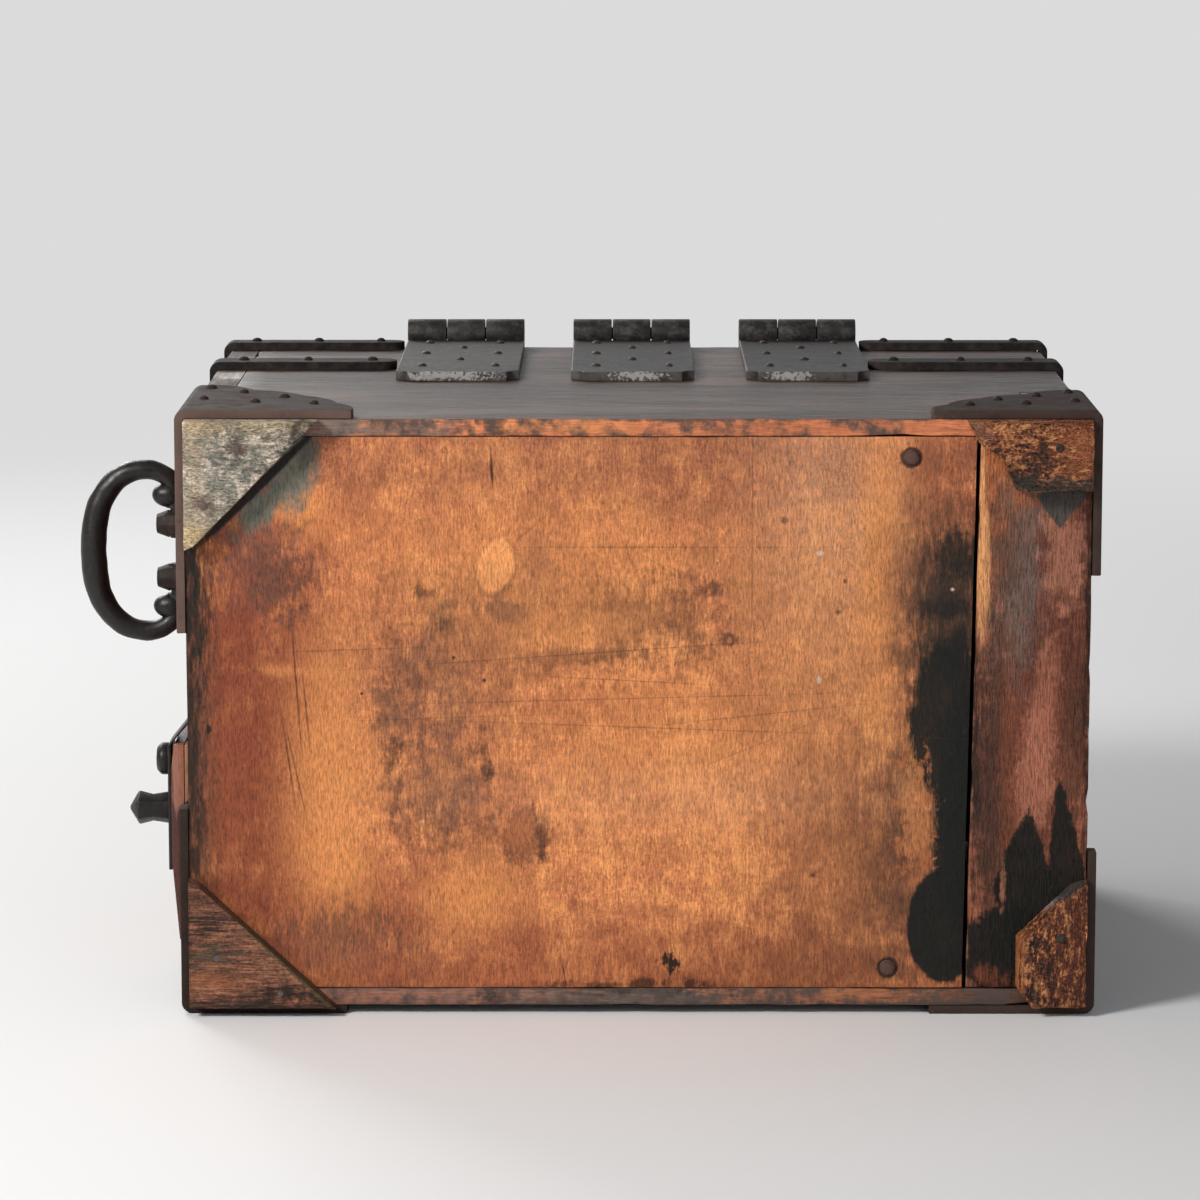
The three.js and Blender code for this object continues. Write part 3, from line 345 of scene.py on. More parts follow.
def wood_finish(
    name, run, tones, stains_and_painted_light=(), worn=(0.4, 0.2, 0.1), rough=(0.45, 0.7), wear=0.7, band_scale=14.0,
    weights=(0.55, 0.25, 0.2, 0.0), fibre_depth=0.5, relief=0.25, figure=0.0, figure_scale=170.0,
    contrast=(0.2, 0.8), gloss=0.25, head_tone=(0.07, 0.045, 0.038),
):
    """A wood with its grain, its stains and painted light in order, its worn edges and a fibrous surface.

    The run draws the grain out along the board. The weights are those of bands, mottle, streaks and flecks.
    """
    material, tree, shader = new_finish(name)
    place = wire(tree, "TexCoord").outputs["Object"]
    grain = place_group(tree, GRAIN, {"Vector": place, "Run": run, "Band Scale": band_scale})
    streak = grain["Streak"]
    cloud = stretch(tree, cloudy(tree, place, *CLOUD_NOISE), 0.3, 0.7)
    smudge = stretch(tree, cloudy(tree, place, *SMUDGE_NOISE), 0.32, 0.68)
    fleck = stretch(tree, cloudy(tree, place, *FLECK_NOISE), 0.36, 0.64)
    noises = {
        "streak": streak, "cloud": mix(tree, 0.4, cloud, streak), "smudge": mix(tree, 0.35, smudge, streak),
        "fleck": fleck,
    }
    mottle = mix(tree, 0.5, cloud, smudge)
    spread = math(tree, "MULTIPLY", grain["Band"], weights[0])
    for share, source in zip(weights[1:], (mottle, streak, fleck)):
        spread = math(tree, "ADD", spread, math(tree, "MULTIPLY", source, share))
    spread = stretch(tree, spread, *contrast)
    tone = ramp(tree, spread, [(index / (len(tones) - 1), tone) for index, tone in enumerate(tones)])
    if figure:
        rippled = vectors(tree, "MULTIPLY", place, RIPPLE_RUN)[0]
        ripple = cloudy(tree, rippled, figure_scale, *RIPPLE_NOISE)
        tone = mix(tree, figure, tone, ramp(tree, ripple, RIPPLE_SHADES), "MULTIPLY")
    for colour, centre, half, turn, soft, ragged, strength, kind, *pointed in stains_and_painted_light:
        stain_and_painted_light = (colour, centre, half, turn, soft, ragged, strength, *pointed)
        tone = lay_stain_and_painted_light(tree, place, tone, stain_and_painted_light, noises[kind])
    tone = mix(tree, fibre_depth, tone, ramp(tree, grain["Fibre"], FIBRE_SHADES), "MULTIPLY")
    tone = mix(tree, math(tree, "MULTIPLY", grain["Pores"], PORE_DARK), tone, PORE_SHADE, "MULTIPLY")
    edge = wire(tree, "Attribute", attribute_name="edge").outputs["Fac"]
    rubbed = place_group(tree, WEAR, {"Vector": place, "Edge": edge, "Amount": wear})["Mask"]
    tone = mix(tree, rubbed, tone, worn)
    head = wire(tree, "Attribute", attribute_name="head").outputs["Fac"]
    tree.links.new(mix(tree, head, tone, head_tone), shader.inputs["Base Color"])
    tree.links.new(stretch(tree, streak, 0, 1, *rough), shader.inputs["Roughness"])
    height = math(tree, "MULTIPLY", grain["Fibre"], FIBRE_HEIGHT)
    for source, share in ((grain["Pores"], PORE_HEIGHT), (fleck, FLECK_HEIGHT), (streak, STREAK_HEIGHT)):
        height = math(tree, "ADD", height, math(tree, "MULTIPLY", source, share))
    roughen(tree, shader, height, relief, WOOD_DEPTH)
    shader.inputs["Specular IOR Level"].default_value = gloss
    return material


def stock(node):
    """A merged copy of a solid, with its flat faces whole."""
    shape = bmesh.new()
    shape.from_mesh(frame["nodes"][node].data)
    bmesh.ops.remove_doubles(shape, verts=shape.verts, dist=MERGE)
    bmesh.ops.dissolve_limit(shape, angle_limit=FLAT, verts=shape.verts, edges=shape.edges)
    return shape


def cut_across(shape, spacing, axes):
    """Cuts a shape across at even steps, so that its faces can be moved."""
    for axis in axes:
        values = [vert.co[axis] for vert in shape.verts]
        low, high = min(values), max(values)
        steps = int((high - low) / spacing)
        for index in range(1, steps):
            spot = Vector((0, 0, 0))
            spot[axis] = low + (high - low) * index / steps
            normal = Vector((0, 0, 0))
            normal[axis] = 1
            everything = shape.verts[:] + shape.edges[:] + shape.faces[:]
            bmesh.ops.bisect_plane(shape, geom=everything, dist=CLOSE, plane_co=spot, plane_no=normal)


def round_over(shape, width, segments=2, crease=CREASE):
    """Rounds the edges that bend more than the crease."""
    sharp = [edge for edge in shape.edges if edge.is_manifold and edge.calc_face_angle(0) > crease]
    bmesh.ops.bevel(
        shape, geom=sharp, offset=width, offset_type="OFFSET", affect="EDGES", segments=segments,
        profile=0.5, material=-1, clamp_overlap=True,
    )


def sharpest(vert, bend_of):
    """The greatest bend among the edges that meet at a point."""
    return max((bend_of(edge, 0) for edge in vert.link_edges if edge.is_manifold), default=0)


def bruise(shape, depth, scale, inwards=0.0):
    """Moves a shape's points by noise, and its edges a little inwards."""
    shape.normal_update()
    moves = []
    for vert in shape.verts:
        spot = vert.co * scale
        sway = noise.noise_vector(spot) * depth * SWAY_SHARE
        bend = sharpest(vert, bmesh.types.BMEdge.calc_face_angle)
        dent = max(0.0, noise.noise(spot * DENT_FINENESS + DENT_SHIFT)) ** 2 * depth * DENT_SHARE
        moves.append(sway - vert.normal * (dent if bend > CREASE / 3 else inwards * dent))
    for vert, move in zip(shape.verts, moves):
        vert.co += move


def seat(name, shape, finish, slot, *nodes, body="case"):
    """Makes a finished piece that rides on its body and stands for its solids."""
    bmesh.ops.remove_doubles(shape, verts=shape.verts, dist=CLOSE)
    bmesh.ops.recalc_face_normals(shape, faces=shape.faces)
    bends = [sharpest(vert, bmesh.types.BMEdge.calc_face_angle_signed) for vert in shape.verts]
    bends = [min(1.0, max(0.0, bend / EDGE_FULL)) for bend in bends]
    mesh = bpy.data.meshes.new(name)
    shape.to_mesh(mesh)
    shape.free()
    mesh.attributes.new("edge", "FLOAT", "POINT").data.foreach_set("value", bends)
    mesh.polygons.foreach_set("use_smooth", [True] * len(mesh.polygons))
    mesh.set_sharp_from_angle(angle=SMOOTH)
    mesh.materials.append(finish)
    piece = bpy.data.objects.new(name, mesh)
    bpy.context.scene.collection.objects.link(piece)
    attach(piece, body)
    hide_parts(*nodes)


CASE_LOW, left_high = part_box("case_left_board")
CASE_HIGH = Vector((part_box("case_right_board")[1].x, left_high.y, left_high.z))


def on_back(u, v, y=0.0):
    """A point of the back, in millimetres to the right of the case's lower left corner and above it."""
    return (CASE_LOW.x + u * MM, CASE_LOW.y + y * MM, CASE_LOW.z + v * MM)


def back_stains_and_painted_light(rows, deep=40):
    """Stains and painted light of the back in millimetres, each reaching as deep into the wood as given.

    A row holds its tone, place, half sizes, turn, softness, raggedness, strength, the noise of its
    outline and, for a pointed patch, how pointed it is.
    """
    return [
        (tone, on_back(u, v), (half_u * MM, deep * MM, half_v * MM), turn, soft, ragged, strength, *rest)
        for tone, u, v, half_u, half_v, turn, soft, ragged, strength, *rest in rows
    ]


# Dark soot, also used for a painted shadow beside the upper left block
SOOT_AND_SHADOW = (0.012, 0.009, 0.008)
UMBER = (0.11, 0.047, 0.027)
DEEP_RED = (0.3, 0.085, 0.038)
ORANGE = (0.46, 0.15, 0.055)
AMBER = (0.68, 0.262, 0.083)
PINK = (0.32, 0.13, 0.08)
GREY_WOOD = (0.16, 0.12, 0.1)
LACQUER_DARK = (0.05, 0.034, 0.028)

# The back face of the lips, where the lacquer is rubbed off to orange wood
LIP_STAINS = [
    *back_stains_and_painted_light([
        ((0.7, 0.225, 0.088), 240, 305, 300, 5.6, 0, 0.1, 0.1, 1.0, "streak"),
        (DEEP_RED, 330, 305, 140, 5.6, 0, 0.9, 0.9, 0.45, "smudge"),
    ], 2),
    *back_stains_and_painted_light([
        (GREY_WOOD, 74, 305, 17, 8, 0, 0.5, 0.8, 0.9, "streak"),
        (GREY_WOOD, 108, 304, 34, 6, 0, 0.7, 1.0, 0.8, "smudge"),
        (SOOT_AND_SHADOW, 159, 307, 7, 6, 20, 0.4, 0.9, 0.8, "smudge"),
        (AMBER, 205, 306, 40, 3, 0, 0.7, 0.7, 0.55, "streak"),
        (SOOT_AND_SHADOW, 265, 309.6, 40, 1.0, 0, 0.5, 1.1, 0.6, "smudge"),
    ], 3),
    *back_stains_and_painted_light([
        (PINK, 95, 4, 120, 5, 0, 0.3, 0.4, 0.95, "streak"),
    ], 2),
    *back_stains_and_painted_light([
        (SOOT_AND_SHADOW, 158, 3, 8, 5, 0, 0.5, 1.0, 0.95, "smudge"),
        (GREY_WOOD, 250, 3, 80, 4, 0, 0.5, 1.1, 0.6, "smudge"),
        (ORANGE, 330, 5, 46, 4, 0, 0.6, 1.2, 0.75, "smudge"),
        (UMBER, 436, 4, 50, 6, 0, 0.5, 0.8, 0.75, "streak"),
    ], 3),
]
dark_board = wood_finish(
    "dark_board", (0.09, 1, 1), [(0.022, 0.015, 0.013), (0.052, 0.034, 0.028), (0.115, 0.076, 0.06)],
    LIP_STAINS, worn=(0.075, 0.048, 0.038), rough=(0.34, 0.55), band_scale=24.0, wear=0.5, gloss=0.36,
    weights=(0.45, 0.15, 0.35, 0.05), relief=0.4,
)
for name in ("top_board", "corner_patch", "bottom_board"):
    shape = stock("case_" + name)
    cut_across(shape, BOARD_CUTS, (0, 1))
    round_over(shape, BOARD_ROUND)
    bruise(shape, BOARD_BRUISE, BRUISE_SCALE)
    seat(name, shape, dark_board, "dark_wood", "case_" + name)

end_board = wood_finish(
    "end_board", (1, 0.1, 1), [(0.07, 0.026, 0.017), (0.16, 0.062, 0.032), (0.28, 0.12, 0.06)],
    [
        (LACQUER_DARK, on_back(0, 317, 180), (40 * MM, 900 * MM, 10 * MM), 0, 0.15, 0.2, 1.0, "smudge"),
        (LACQUER_DARK, on_back(470, 317, 180), (40 * MM, 900 * MM, 10 * MM), 0, 0.15, 0.2, 1.0, "smudge"),
        (UMBER, on_back(0, 100, 180), (4 * MM, 120 * MM, 100 * MM), 0, 1.0, 0.9, 0.4, "cloud"),
        (SOOT_AND_SHADOW, on_back(0, 150, 0), (30 * MM, 3 * MM, 300 * MM), 0, 0.1, 0.2, 0.85, "streak"),
        (SOOT_AND_SHADOW, on_back(0, 20, 180), (4 * MM, 500 * MM, 40 * MM), 0, 0.8, 0.9, 0.6, "cloud"),
    ],
    worn=(0.09, 0.055, 0.04), band_scale=16.0, gloss=0.3, weights=(0.5, 0.15, 0.3, 0.05), rough=(0.4, 0.6),
)
for name in ("left_board", "right_board"):
    shape = stock("case_" + name)
    cut_across(shape, BOARD_CUTS, (1, 2))
    round_over(shape, BOARD_ROUND)
    bruise(shape, BOARD_BRUISE, BRUISE_SCALE)
    seat(name, shape, end_board, "warm_wood", "case_" + name)

inner_board = wood_finish(
    "inner_board", (1, 1, 0.08), [(0.24, 0.12, 0.055), (0.36, 0.19, 0.09), (0.46, 0.26, 0.135)],
    worn=(0.3, 0.17, 0.09), rough=(0.65, 0.85), weights=(0.55, 0.1, 0.3, 0.05),
)
shape = stock("case_shelf")
cut_across(shape, BOARD_CUTS * 2, (1, 2))
round_over(shape, BOARD_ROUND)
bruise(shape, BOARD_BRUISE, SHELF_BRUISE_SCALE)
seat("shelf", shape, inner_board, "inner_wood", "case_shelf")


# Back panel: one broad board and a narrow strip beside it, with an open leaning joint.
# The grain stands upright. A century of handling left stains, rubbed spots, scratches and cracks,
# and a tarry band runs down beside the joint.
# A shadow is painted beside the slanted edge of the upper left block.
PANEL_ROUND = 0.8 * MM
PANEL_BRUISE = 0.3 * MM
PANEL_BRUISE_SCALE = 40
STRIP_BRUISE = 0.8 * MM
STRIP_BRUISE_SCALE = 70
STRIP_DENTS = 0.3
PANEL_NAIL_RING = 5.7
GREEN_BLACK = (0.01, 0.0105, 0.0088)
TEAL = (0.14, 0.15, 0.12)
SMOKE = (0.16, 0.075, 0.045)
PURPLE = (0.15, 0.062, 0.045)
RED_BROWN = (0.2, 0.046, 0.022)
TAN = (0.59, 0.262, 0.098)
CHALK = (0.68, 0.56, 0.46)

# Stains of the panel, with a painted shadow beside the upper left block
PANEL_STAINS_AND_SHADOW = back_stains_and_painted_light([
    # Broad tones of the board, redder to the left and below
    (TAN, 335, 205, 50, 95, 0, 0.9, 0.5, 0.5, "cloud"),
    (AMBER, 180, 228, 66, 36, 0, 1.0, 0.7, 0.55, "cloud"),
    (AMBER, 60, 258, 16, 14, 0, 1.0, 0.8, 0.5, "cloud"),
    (ORANGE, 84, 256, 24, 16, 0, 1.0, 0.8, 0.5, "cloud"),
    (AMBER, 250, 130, 90, 26, 0, 1.0, 0.7, 0.35, "cloud"),
    (PURPLE, 230, 290, 200, 22, 0, 0.9, 0.6, 0.3, "cloud"),
    (ORANGE, 238, 164, 54, 15, 0, 1.0, 0.8, 0.42, "cloud"),
    (DEEP_RED, 194, 14, 250, 22, 0, 0.9, 0.5, 0.6, "cloud"),
    (DEEP_RED, 76, 42, 66, 36, 0, 0.8, 0.6, 0.62, "cloud"),
    (DEEP_RED, 36, 200, 34, 60, 0, 0.9, 0.6, 0.6, "cloud"),
    (RED_BROWN, 20, 130, 40, 130, 0, 0.75, 0.4, 0.9, "cloud"),
    (AMBER, 60, 262, 12, 9, 30, 0.8, 0.6, 0.5, "streak"),
    (UMBER, 2, 150, 11, 190, 0, 0.8, 0.4, 0.8, "streak"),
    (SOOT_AND_SHADOW, 1, 150, 6, 112, 0, 0.8, 0.7, 0.85, "streak"),
    (GREEN_BLACK, 5, 212, 7, 26, 0, 0.8, 0.6, 0.75, "streak"),
    # Rubbed amber places, the lens-shaped scar, the green mark and the painted shadow at the upper left
    # block
    (AMBER, 77, 118, 20, 62, 0, 1.0, 0.5, 0.85, "cloud"),
    (AMBER, 74, 75, 11, 14, 0, 0.8, 0.5, 0.7, "cloud"),
    (AMBER, 152, 60, 22, 19, 0, 0.8, 0.6, 0.8, "smudge"),
    (AMBER, 62, 177.5, 26, 2.6, -3, 0.7, 0.9, 0.45, "smudge"),
    (PURPLE, 183, 230, 12, 17, 0, 0.6, 0.5, 0.3, "smudge"),
    (UMBER, 161.5, 232, 12, 17, -16, 0.15, 0.12, 0.5, "smudge", 0.3),
    ((0.84, 0.34, 0.115), 161, 233, 10.5, 15.5, -16, 0.12, 0.1, 0.92, "smudge", 0.3),
    (PURPLE, 40, 236, 17, 24, 10, 0.9, 1.0, 0.72, "smudge"),
    (UMBER, 47, 224, 10, 14, 20, 0.8, 1.2, 0.5, "smudge"),
    (TEAL, 56, 286, 12, 23, -8, 0.4, 0.3, 0.92, "smudge"),
    (TEAL, 40, 264, 16, 8, 42, 0.5, 0.4, 0.9, "smudge"),
    (GREEN_BLACK, 64, 292, 4, 12, -12, 0.9, 0.6, 0.4, "smudge"),
    # Painted shadow: a dark line beside the slanted edge of the upper left block, where it stands proud
    (SOOT_AND_SHADOW, 37.6, 274, 52, 2.5, 44.6, 0.35, 0.1, 0.98, "streak"),
    (SOOT_AND_SHADOW, 3, 238, 4, 14, 0, 0.7, 0.5, 0.8, "streak"),
    # Smoky blotches of the middle
    (SMOKE, 132, 170, 34, 44, -4, 1.0, 0.7, 0.35, "cloud"),
    (SMOKE, 110, 157, 12, 12, 0, 0.9, 0.9, 0.7, "smudge"),
    (SMOKE, 117, 182, 12, 9, 0, 0.9, 0.9, 0.55, "smudge"),
    (SMOKE, 137, 158, 8, 16, 0, 0.9, 0.9, 0.5, "smudge"),
    (UMBER, 170, 200, 52, 24, 2, 1.0, 0.7, 0.3, "cloud"),
    (UMBER, 236, 205, 27, 18, 0, 1.0, 0.9, 0.5, "smudge"),
    (UMBER, 262, 206, 9, 22, 0, 1.0, 0.9, 0.35, "smudge"),
    (GREEN_BLACK, 124, 219, 5, 3, -10, 0.9, 1.0, 0.6, "smudge"),
    (SMOKE, 132, 207, 4, 16, -38, 0.9, 0.9, 0.6, "smudge"),
    (GREEN_BLACK, 135, 203, 4, 4, 0, 0.9, 1.0, 0.45, "smudge"),
    (SMOKE, 167, 209, 11, 6, -20, 0.9, 0.9, 0.6, "smudge"),
    (UMBER, 205, 186, 24, 4, 6, 1.0, 0.9, 0.5, "smudge"),
    (AMBER, 196, 199, 26, 9, 4, 0.9, 0.7, 0.4, "smudge"),
    (SOOT_AND_SHADOW, 107, 131, 3.5, 8, -10, 0.8, 1.0, 0.6, "smudge"),
    (SOOT_AND_SHADOW, 109, 112, 2.0, 13, -12, 0.8, 0.7, 0.55, "smudge"),
    (SMOKE, 130, 113, 22, 18, 0, 0.9, 0.9, 0.6, "smudge"),
    (UMBER, 140, 90, 22, 10, -20, 1.0, 1.0, 0.35, "smudge"),
    (SOOT_AND_SHADOW, 156, 128, 2.6, 13, 10, 0.8, 0.9, 0.6, "smudge"),
    (UMBER, 177, 91, 12, 16, -24, 0.3, 0.5, 0.6, "smudge"),
    (ORANGE, 175, 94, 8, 11, -24, 0.6, 0.5, 0.55, "smudge"),
    (SOOT_AND_SHADOW, 184, 88, 2.2, 11, 12, 0.8, 0.8, 0.55, "smudge"),
    (CHALK, 122, 98, 1.4, 1.2, 0, 0.4, 0.6, 0.4, "smudge"),
    (UMBER, 82, 41, 20, 9, 0, 1.0, 1.5, 0.55, "streak"),
    (PURPLE, 76, 28, 40, 12, 0, 1.0, 1.0, 0.4, "smudge"),
    (CHALK, 323, 276, 13, 30, 0, 1.0, 2.2, 0.12, "fleck"),
    (CHALK, 360, 262, 10, 24, 0, 1.0, 2.2, 0.1, "fleck"),
    (CHALK, 300, 112, 70, 8, 0, 1.0, 2.2, 0.1, "fleck"),
    # The right edge, and the tarry band beside the joint
    (AMBER, 361, 235, 9, 62, 0, 0.9, 0.4, 0.85, "streak"),
    (DEEP_RED, 384, 277, 15, 36, 0, 0.95, 0.6, 0.55, "cloud"),
    (TAN, 372, 255, 10, 30, 0, 0.9, 0.8, 0.3, "streak"),
    ((0.24, 0.088, 0.04), 350, 70, 36, 66, 0, 0.9, 0.6, 0.8, "cloud"),
    ((0.2, 0.062, 0.03), 322, 18, 60, 20, 0, 0.9, 0.6, 0.65, "cloud"),
    (UMBER, 373, 84, 15, 62, 0, 0.9, 0.6, 0.85, "cloud"),
    (UMBER, 388, 214, 20, 50, 0, 0.9, 0.7, 0.75, "cloud"),
    ((0.028, 0.021, 0.016), 397, 208, 19, 40, 0, 0.55, 0.3, 0.84, "streak"),
    (GREEN_BLACK, 401, 239, 12, 13, 0, 0.6, 0.45, 0.85, "smudge"),
    (GREEN_BLACK, 398, 211, 14, 6, 0, 0.7, 0.5, 0.8, "smudge"),
    (GREEN_BLACK, 399, 188, 13, 14, 0, 0.7, 0.4, 0.8, "cloud"),
    (GREEN_BLACK, 395, 150, 19, 46, 0, 0.15, 0.15, 0.97, "cloud"),
    (GREEN_BLACK, 404, 105, 14, 62, 0, 0.3, 0.3, 0.96, "cloud"),
    (GREEN_BLACK, 402, 92, 13, 48, 0, 0.12, 0.3, 0.98, "smudge"),
    (ORANGE, 380, 98, 7, 26, 0, 0.5, 1.4, 0.6, "smudge"),
    (TAN, 380, 104, 5, 17, 0, 0.7, 1.6, 0.35, "streak"),
    (GREEN_BLACK, 396, 43, 20, 31, 0, 0.05, 0.05, 0.99, "smudge"),
    # Knots, nicks and drips
    (UMBER, 282, 194, 3.2, 3.8, 0, 0.4, 0.6, 0.85, "smudge"),
    (ORANGE, 282.4, 194, 1.2, 1.6, 0, 0.5, 0.4, 0.8, "smudge"),
    (UMBER, 274, 222, 4.5, 3.5, 0, 0.7, 1.0, 0.7, "smudge"),
    (UMBER, 339, 209, 1.8, 1.6, 0, 0.4, 0.6, 0.8, "smudge"),
    (UMBER, 342, 225, 1.3, 1.3, 0, 0.4, 0.6, 0.8, "smudge"),
    (UMBER, 311, 257, 1.5, 2.0, 0, 0.4, 0.6, 0.7, "smudge"),
    (CHALK, 329, 240, 1.5, 1.0, 0, 0.4, 0.5, 0.6, "smudge"),
    (CHALK, 276, 236, 1.0, 0.7, 0, 0.4, 0.5, 0.5, "smudge"),
    (CHALK, 329, 173, 1.2, 2.0, 0, 0.5, 0.5, 0.5, "smudge"),
    (CHALK, 398, 221, 1.0, 0.7, 0, 0.5, 0.5, 0.6, "smudge"),
    (SOOT_AND_SHADOW, 252, 22, 4.2, 4.4, 0, 0.4, 1.2, 0.95, "smudge"),
    (SOOT_AND_SHADOW, 230, 11, 26, 2.2, 0, 0.8, 1.3, 0.75, "smudge"),
    (SOOT_AND_SHADOW, 326, 70, 2.8, 1.5, 35, 0.5, 0.8, 0.7, "smudge"),
    (SOOT_AND_SHADOW, 196, 18, 0.7, 7, 10, 0.5, 0.6, 0.85, "streak"),
    (SOOT_AND_SHADOW, 159, 285, 0.6, 8, 3, 0.5, 0.4, 0.85, "streak"),
    (SOOT_AND_SHADOW, 11.5, 147, 1.1, 2.0, 0, 0.3, 0.3, 0.95, "streak"),
    (SOOT_AND_SHADOW, 139, 185, 1.0, 1.0, 0, 0.4, 0.3, 0.85, "streak"),
    (SOOT_AND_SHADOW, 155, 173, 0.8, 1.3, 0, 0.4, 0.3, 0.85, "streak"),
    (SOOT_AND_SHADOW, 91, 166, 0.8, 0.8, 0, 0.4, 0.3, 0.85, "streak"),
    # Cracks along the grain
    (SOOT_AND_SHADOW, 57, 172, 0.45, 29, 4, 0.8, 0.3, 0.7, "cloud"),
    (SOOT_AND_SHADOW, 62, 158, 0.4, 18, 5, 0.8, 0.3, 0.65, "cloud"),
    (SOOT_AND_SHADOW, 53, 128, 0.45, 22, 8, 0.8, 0.4, 0.7, "cloud"),
    (SOOT_AND_SHADOW, 57, 122, 0.4, 20, 12, 0.8, 0.4, 0.6, "cloud"),
])
SCRATCHES = [
    # place, half sizes, turn, raggedness and strength
    (235, 243, 70, 0.3, 0, 0.6, 0.4), (84, 189, 42, 0.35, 2, 0.6, 0.5),
    (205, 187, 90, 0.3, 4, 0.7, 0.55), (215, 163, 100, 0.3, 1.5, 0.6, 0.5),
    (240, 148, 110, 0.3, -2, 0.6, 0.45), (300, 155, 60, 0.3, 6, 0.6, 0.4),
    (258, 226, 26, 0.3, -32, 0.6, 0.35), (300, 140, 34, 0.3, 22, 0.6, 0.35),
    (176, 250, 18, 0.3, 40, 0.6, 0.35), (294, 262, 0.35, 44, 0, 0.6, 0.45),
    (228, 173, 46, 0.3, -3, 0.6, 0.5), (130, 153, 48, 0.3, 2, 0.6, 0.45),
]
PANEL_STAINS_AND_SHADOW += back_stains_and_painted_light([
    (UMBER, u, v, half_u, half_v, turn, 0.9, ragged, strength, "cloud")
    for u, v, half_u, half_v, turn, ragged, strength in SCRATCHES
])
for nail in ("panel_nail_upper", "panel_nail_lower"):
    low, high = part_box(nail)
    u, v = ((low[axis] + high[axis] - 2 * CASE_LOW[axis]) / 2 / MM for axis in (0, 2))
    PANEL_STAINS_AND_SHADOW += back_stains_and_painted_light([
        (SOOT_AND_SHADOW, u, v, PANEL_NAIL_RING, PANEL_NAIL_RING, 0, 0.12, 0.1, 0.85, "smudge"),
    ])
panel_wood = wood_finish(
    "panel_wood", (1, 1, 0.2),
    [(0.3, 0.092, 0.04), (0.49, 0.168, 0.072), (0.6, 0.218, 0.08), (0.78, 0.315, 0.112)],
    PANEL_STAINS_AND_SHADOW, worn=(0.3, 0.13, 0.07), rough=(0.4, 0.58), wear=0.15, band_scale=13.0,
    weights=(0.28, 0.37, 0.2, 0.15), fibre_depth=0.62, relief=0.35, figure=0.35, gloss=0.18,
)
shape = stock("back_panel_main")
cut_across(shape, BOARD_CUTS, (0, 2))
round_over(shape, PANEL_ROUND)
bruise(shape, PANEL_BRUISE, PANEL_BRUISE_SCALE)
seat("panel_board", shape, panel_wood, "warm_wood", "back_panel_main")

STRIP_STAINS = back_stains_and_painted_light([
    (ORANGE, 424, 290, 18, 34, 0, 0.9, 0.6, 0.85, "cloud"),
    (GREY_WOOD, 431, 222, 13, 46, -4, 0.6, 0.6, 0.75, "smudge"),
    (UMBER, 424, 236, 10, 26, 0, 0.7, 0.8, 0.6, "smudge"),
    (UMBER, 421, 120, 9, 90, 0, 0.7, 0.7, 0.75, "smudge"),
    ((0.055, 0.028, 0.021), 420, 112, 11, 64, 0, 0.6, 0.5, 0.75, "smudge"),
    (DEEP_RED, 428, 128, 5, 46, 0, 0.8, 0.8, 0.35, "smudge"),
    ((0.36, 0.145, 0.09), 456, 238, 10, 26, 0, 0.5, 0.8, 0.85, "smudge"),
    ((0.38, 0.14, 0.085), 446, 164, 7, 36, -8, 0.5, 0.6, 0.65, "smudge"),
    ((0.4, 0.148, 0.09), 443, 122, 9, 30, -4, 0.3, 0.5, 0.85, "smudge"),
    (UMBER, 462, 128, 5, 40, 0, 0.5, 0.8, 0.6, "smudge"),
    ((0.06, 0.058, 0.052), 453.5, 270, 13.5, 17.5, 0, 0.05, 0.05, 0.93, "smudge", 1.0),
    (GREEN_BLACK, 410, 150, 3, 70, 0, 0.7, 0.6, 0.75, "streak"),
    (GREEN_BLACK, 437, 62, 17, 44, -3, 0.06, 0.1, 0.97, "smudge", 0.8),
    (GREEN_BLACK, 459, 72, 10, 52, 5, 0.08, 0.1, 0.96, "smudge", 0.8),
    (GREEN_BLACK, 432, 22, 46, 29, 0, 0.1, 0.15, 0.97, "smudge"),
    (DEEP_RED, 419, 15, 9, 4, 0, 0.8, 1.2, 0.45, "smudge"),
    (PINK, 426, 62, 1.6, 12, 0, 0.4, 0.6, 0.8, "smudge"),
    (SOOT_AND_SHADOW, 470, 160, 2.6, 160, 0, 0.6, 0.8, 0.7, "streak"),
    ((0.7, 0.32, 0.13), 412, 250, 4.2, 54, 2, 0.4, 0.3, 0.95, "streak"),
])
strip_wood = wood_finish(
    "strip_wood", (1, 1, 0.12), [(0.1, 0.034, 0.021), (0.19, 0.062, 0.037), (0.32, 0.11, 0.062)],
    STRIP_STAINS, worn=(0.3, 0.12, 0.07), rough=(0.5, 0.75), wear=0.35, band_scale=18.0, relief=0.9,
    gloss=0.16, figure=0.55, figure_scale=420.0, fibre_depth=0.7,
)
shape = stock("back_panel_strip")
cut_across(shape, BOARD_CUTS / 2, (0, 2))
round_over(shape, PANEL_ROUND)
bruise(shape, STRIP_BRUISE, STRIP_BRUISE_SCALE, STRIP_DENTS)
seat("panel_strip", shape, strip_wood, "warm_wood", "back_panel_strip")


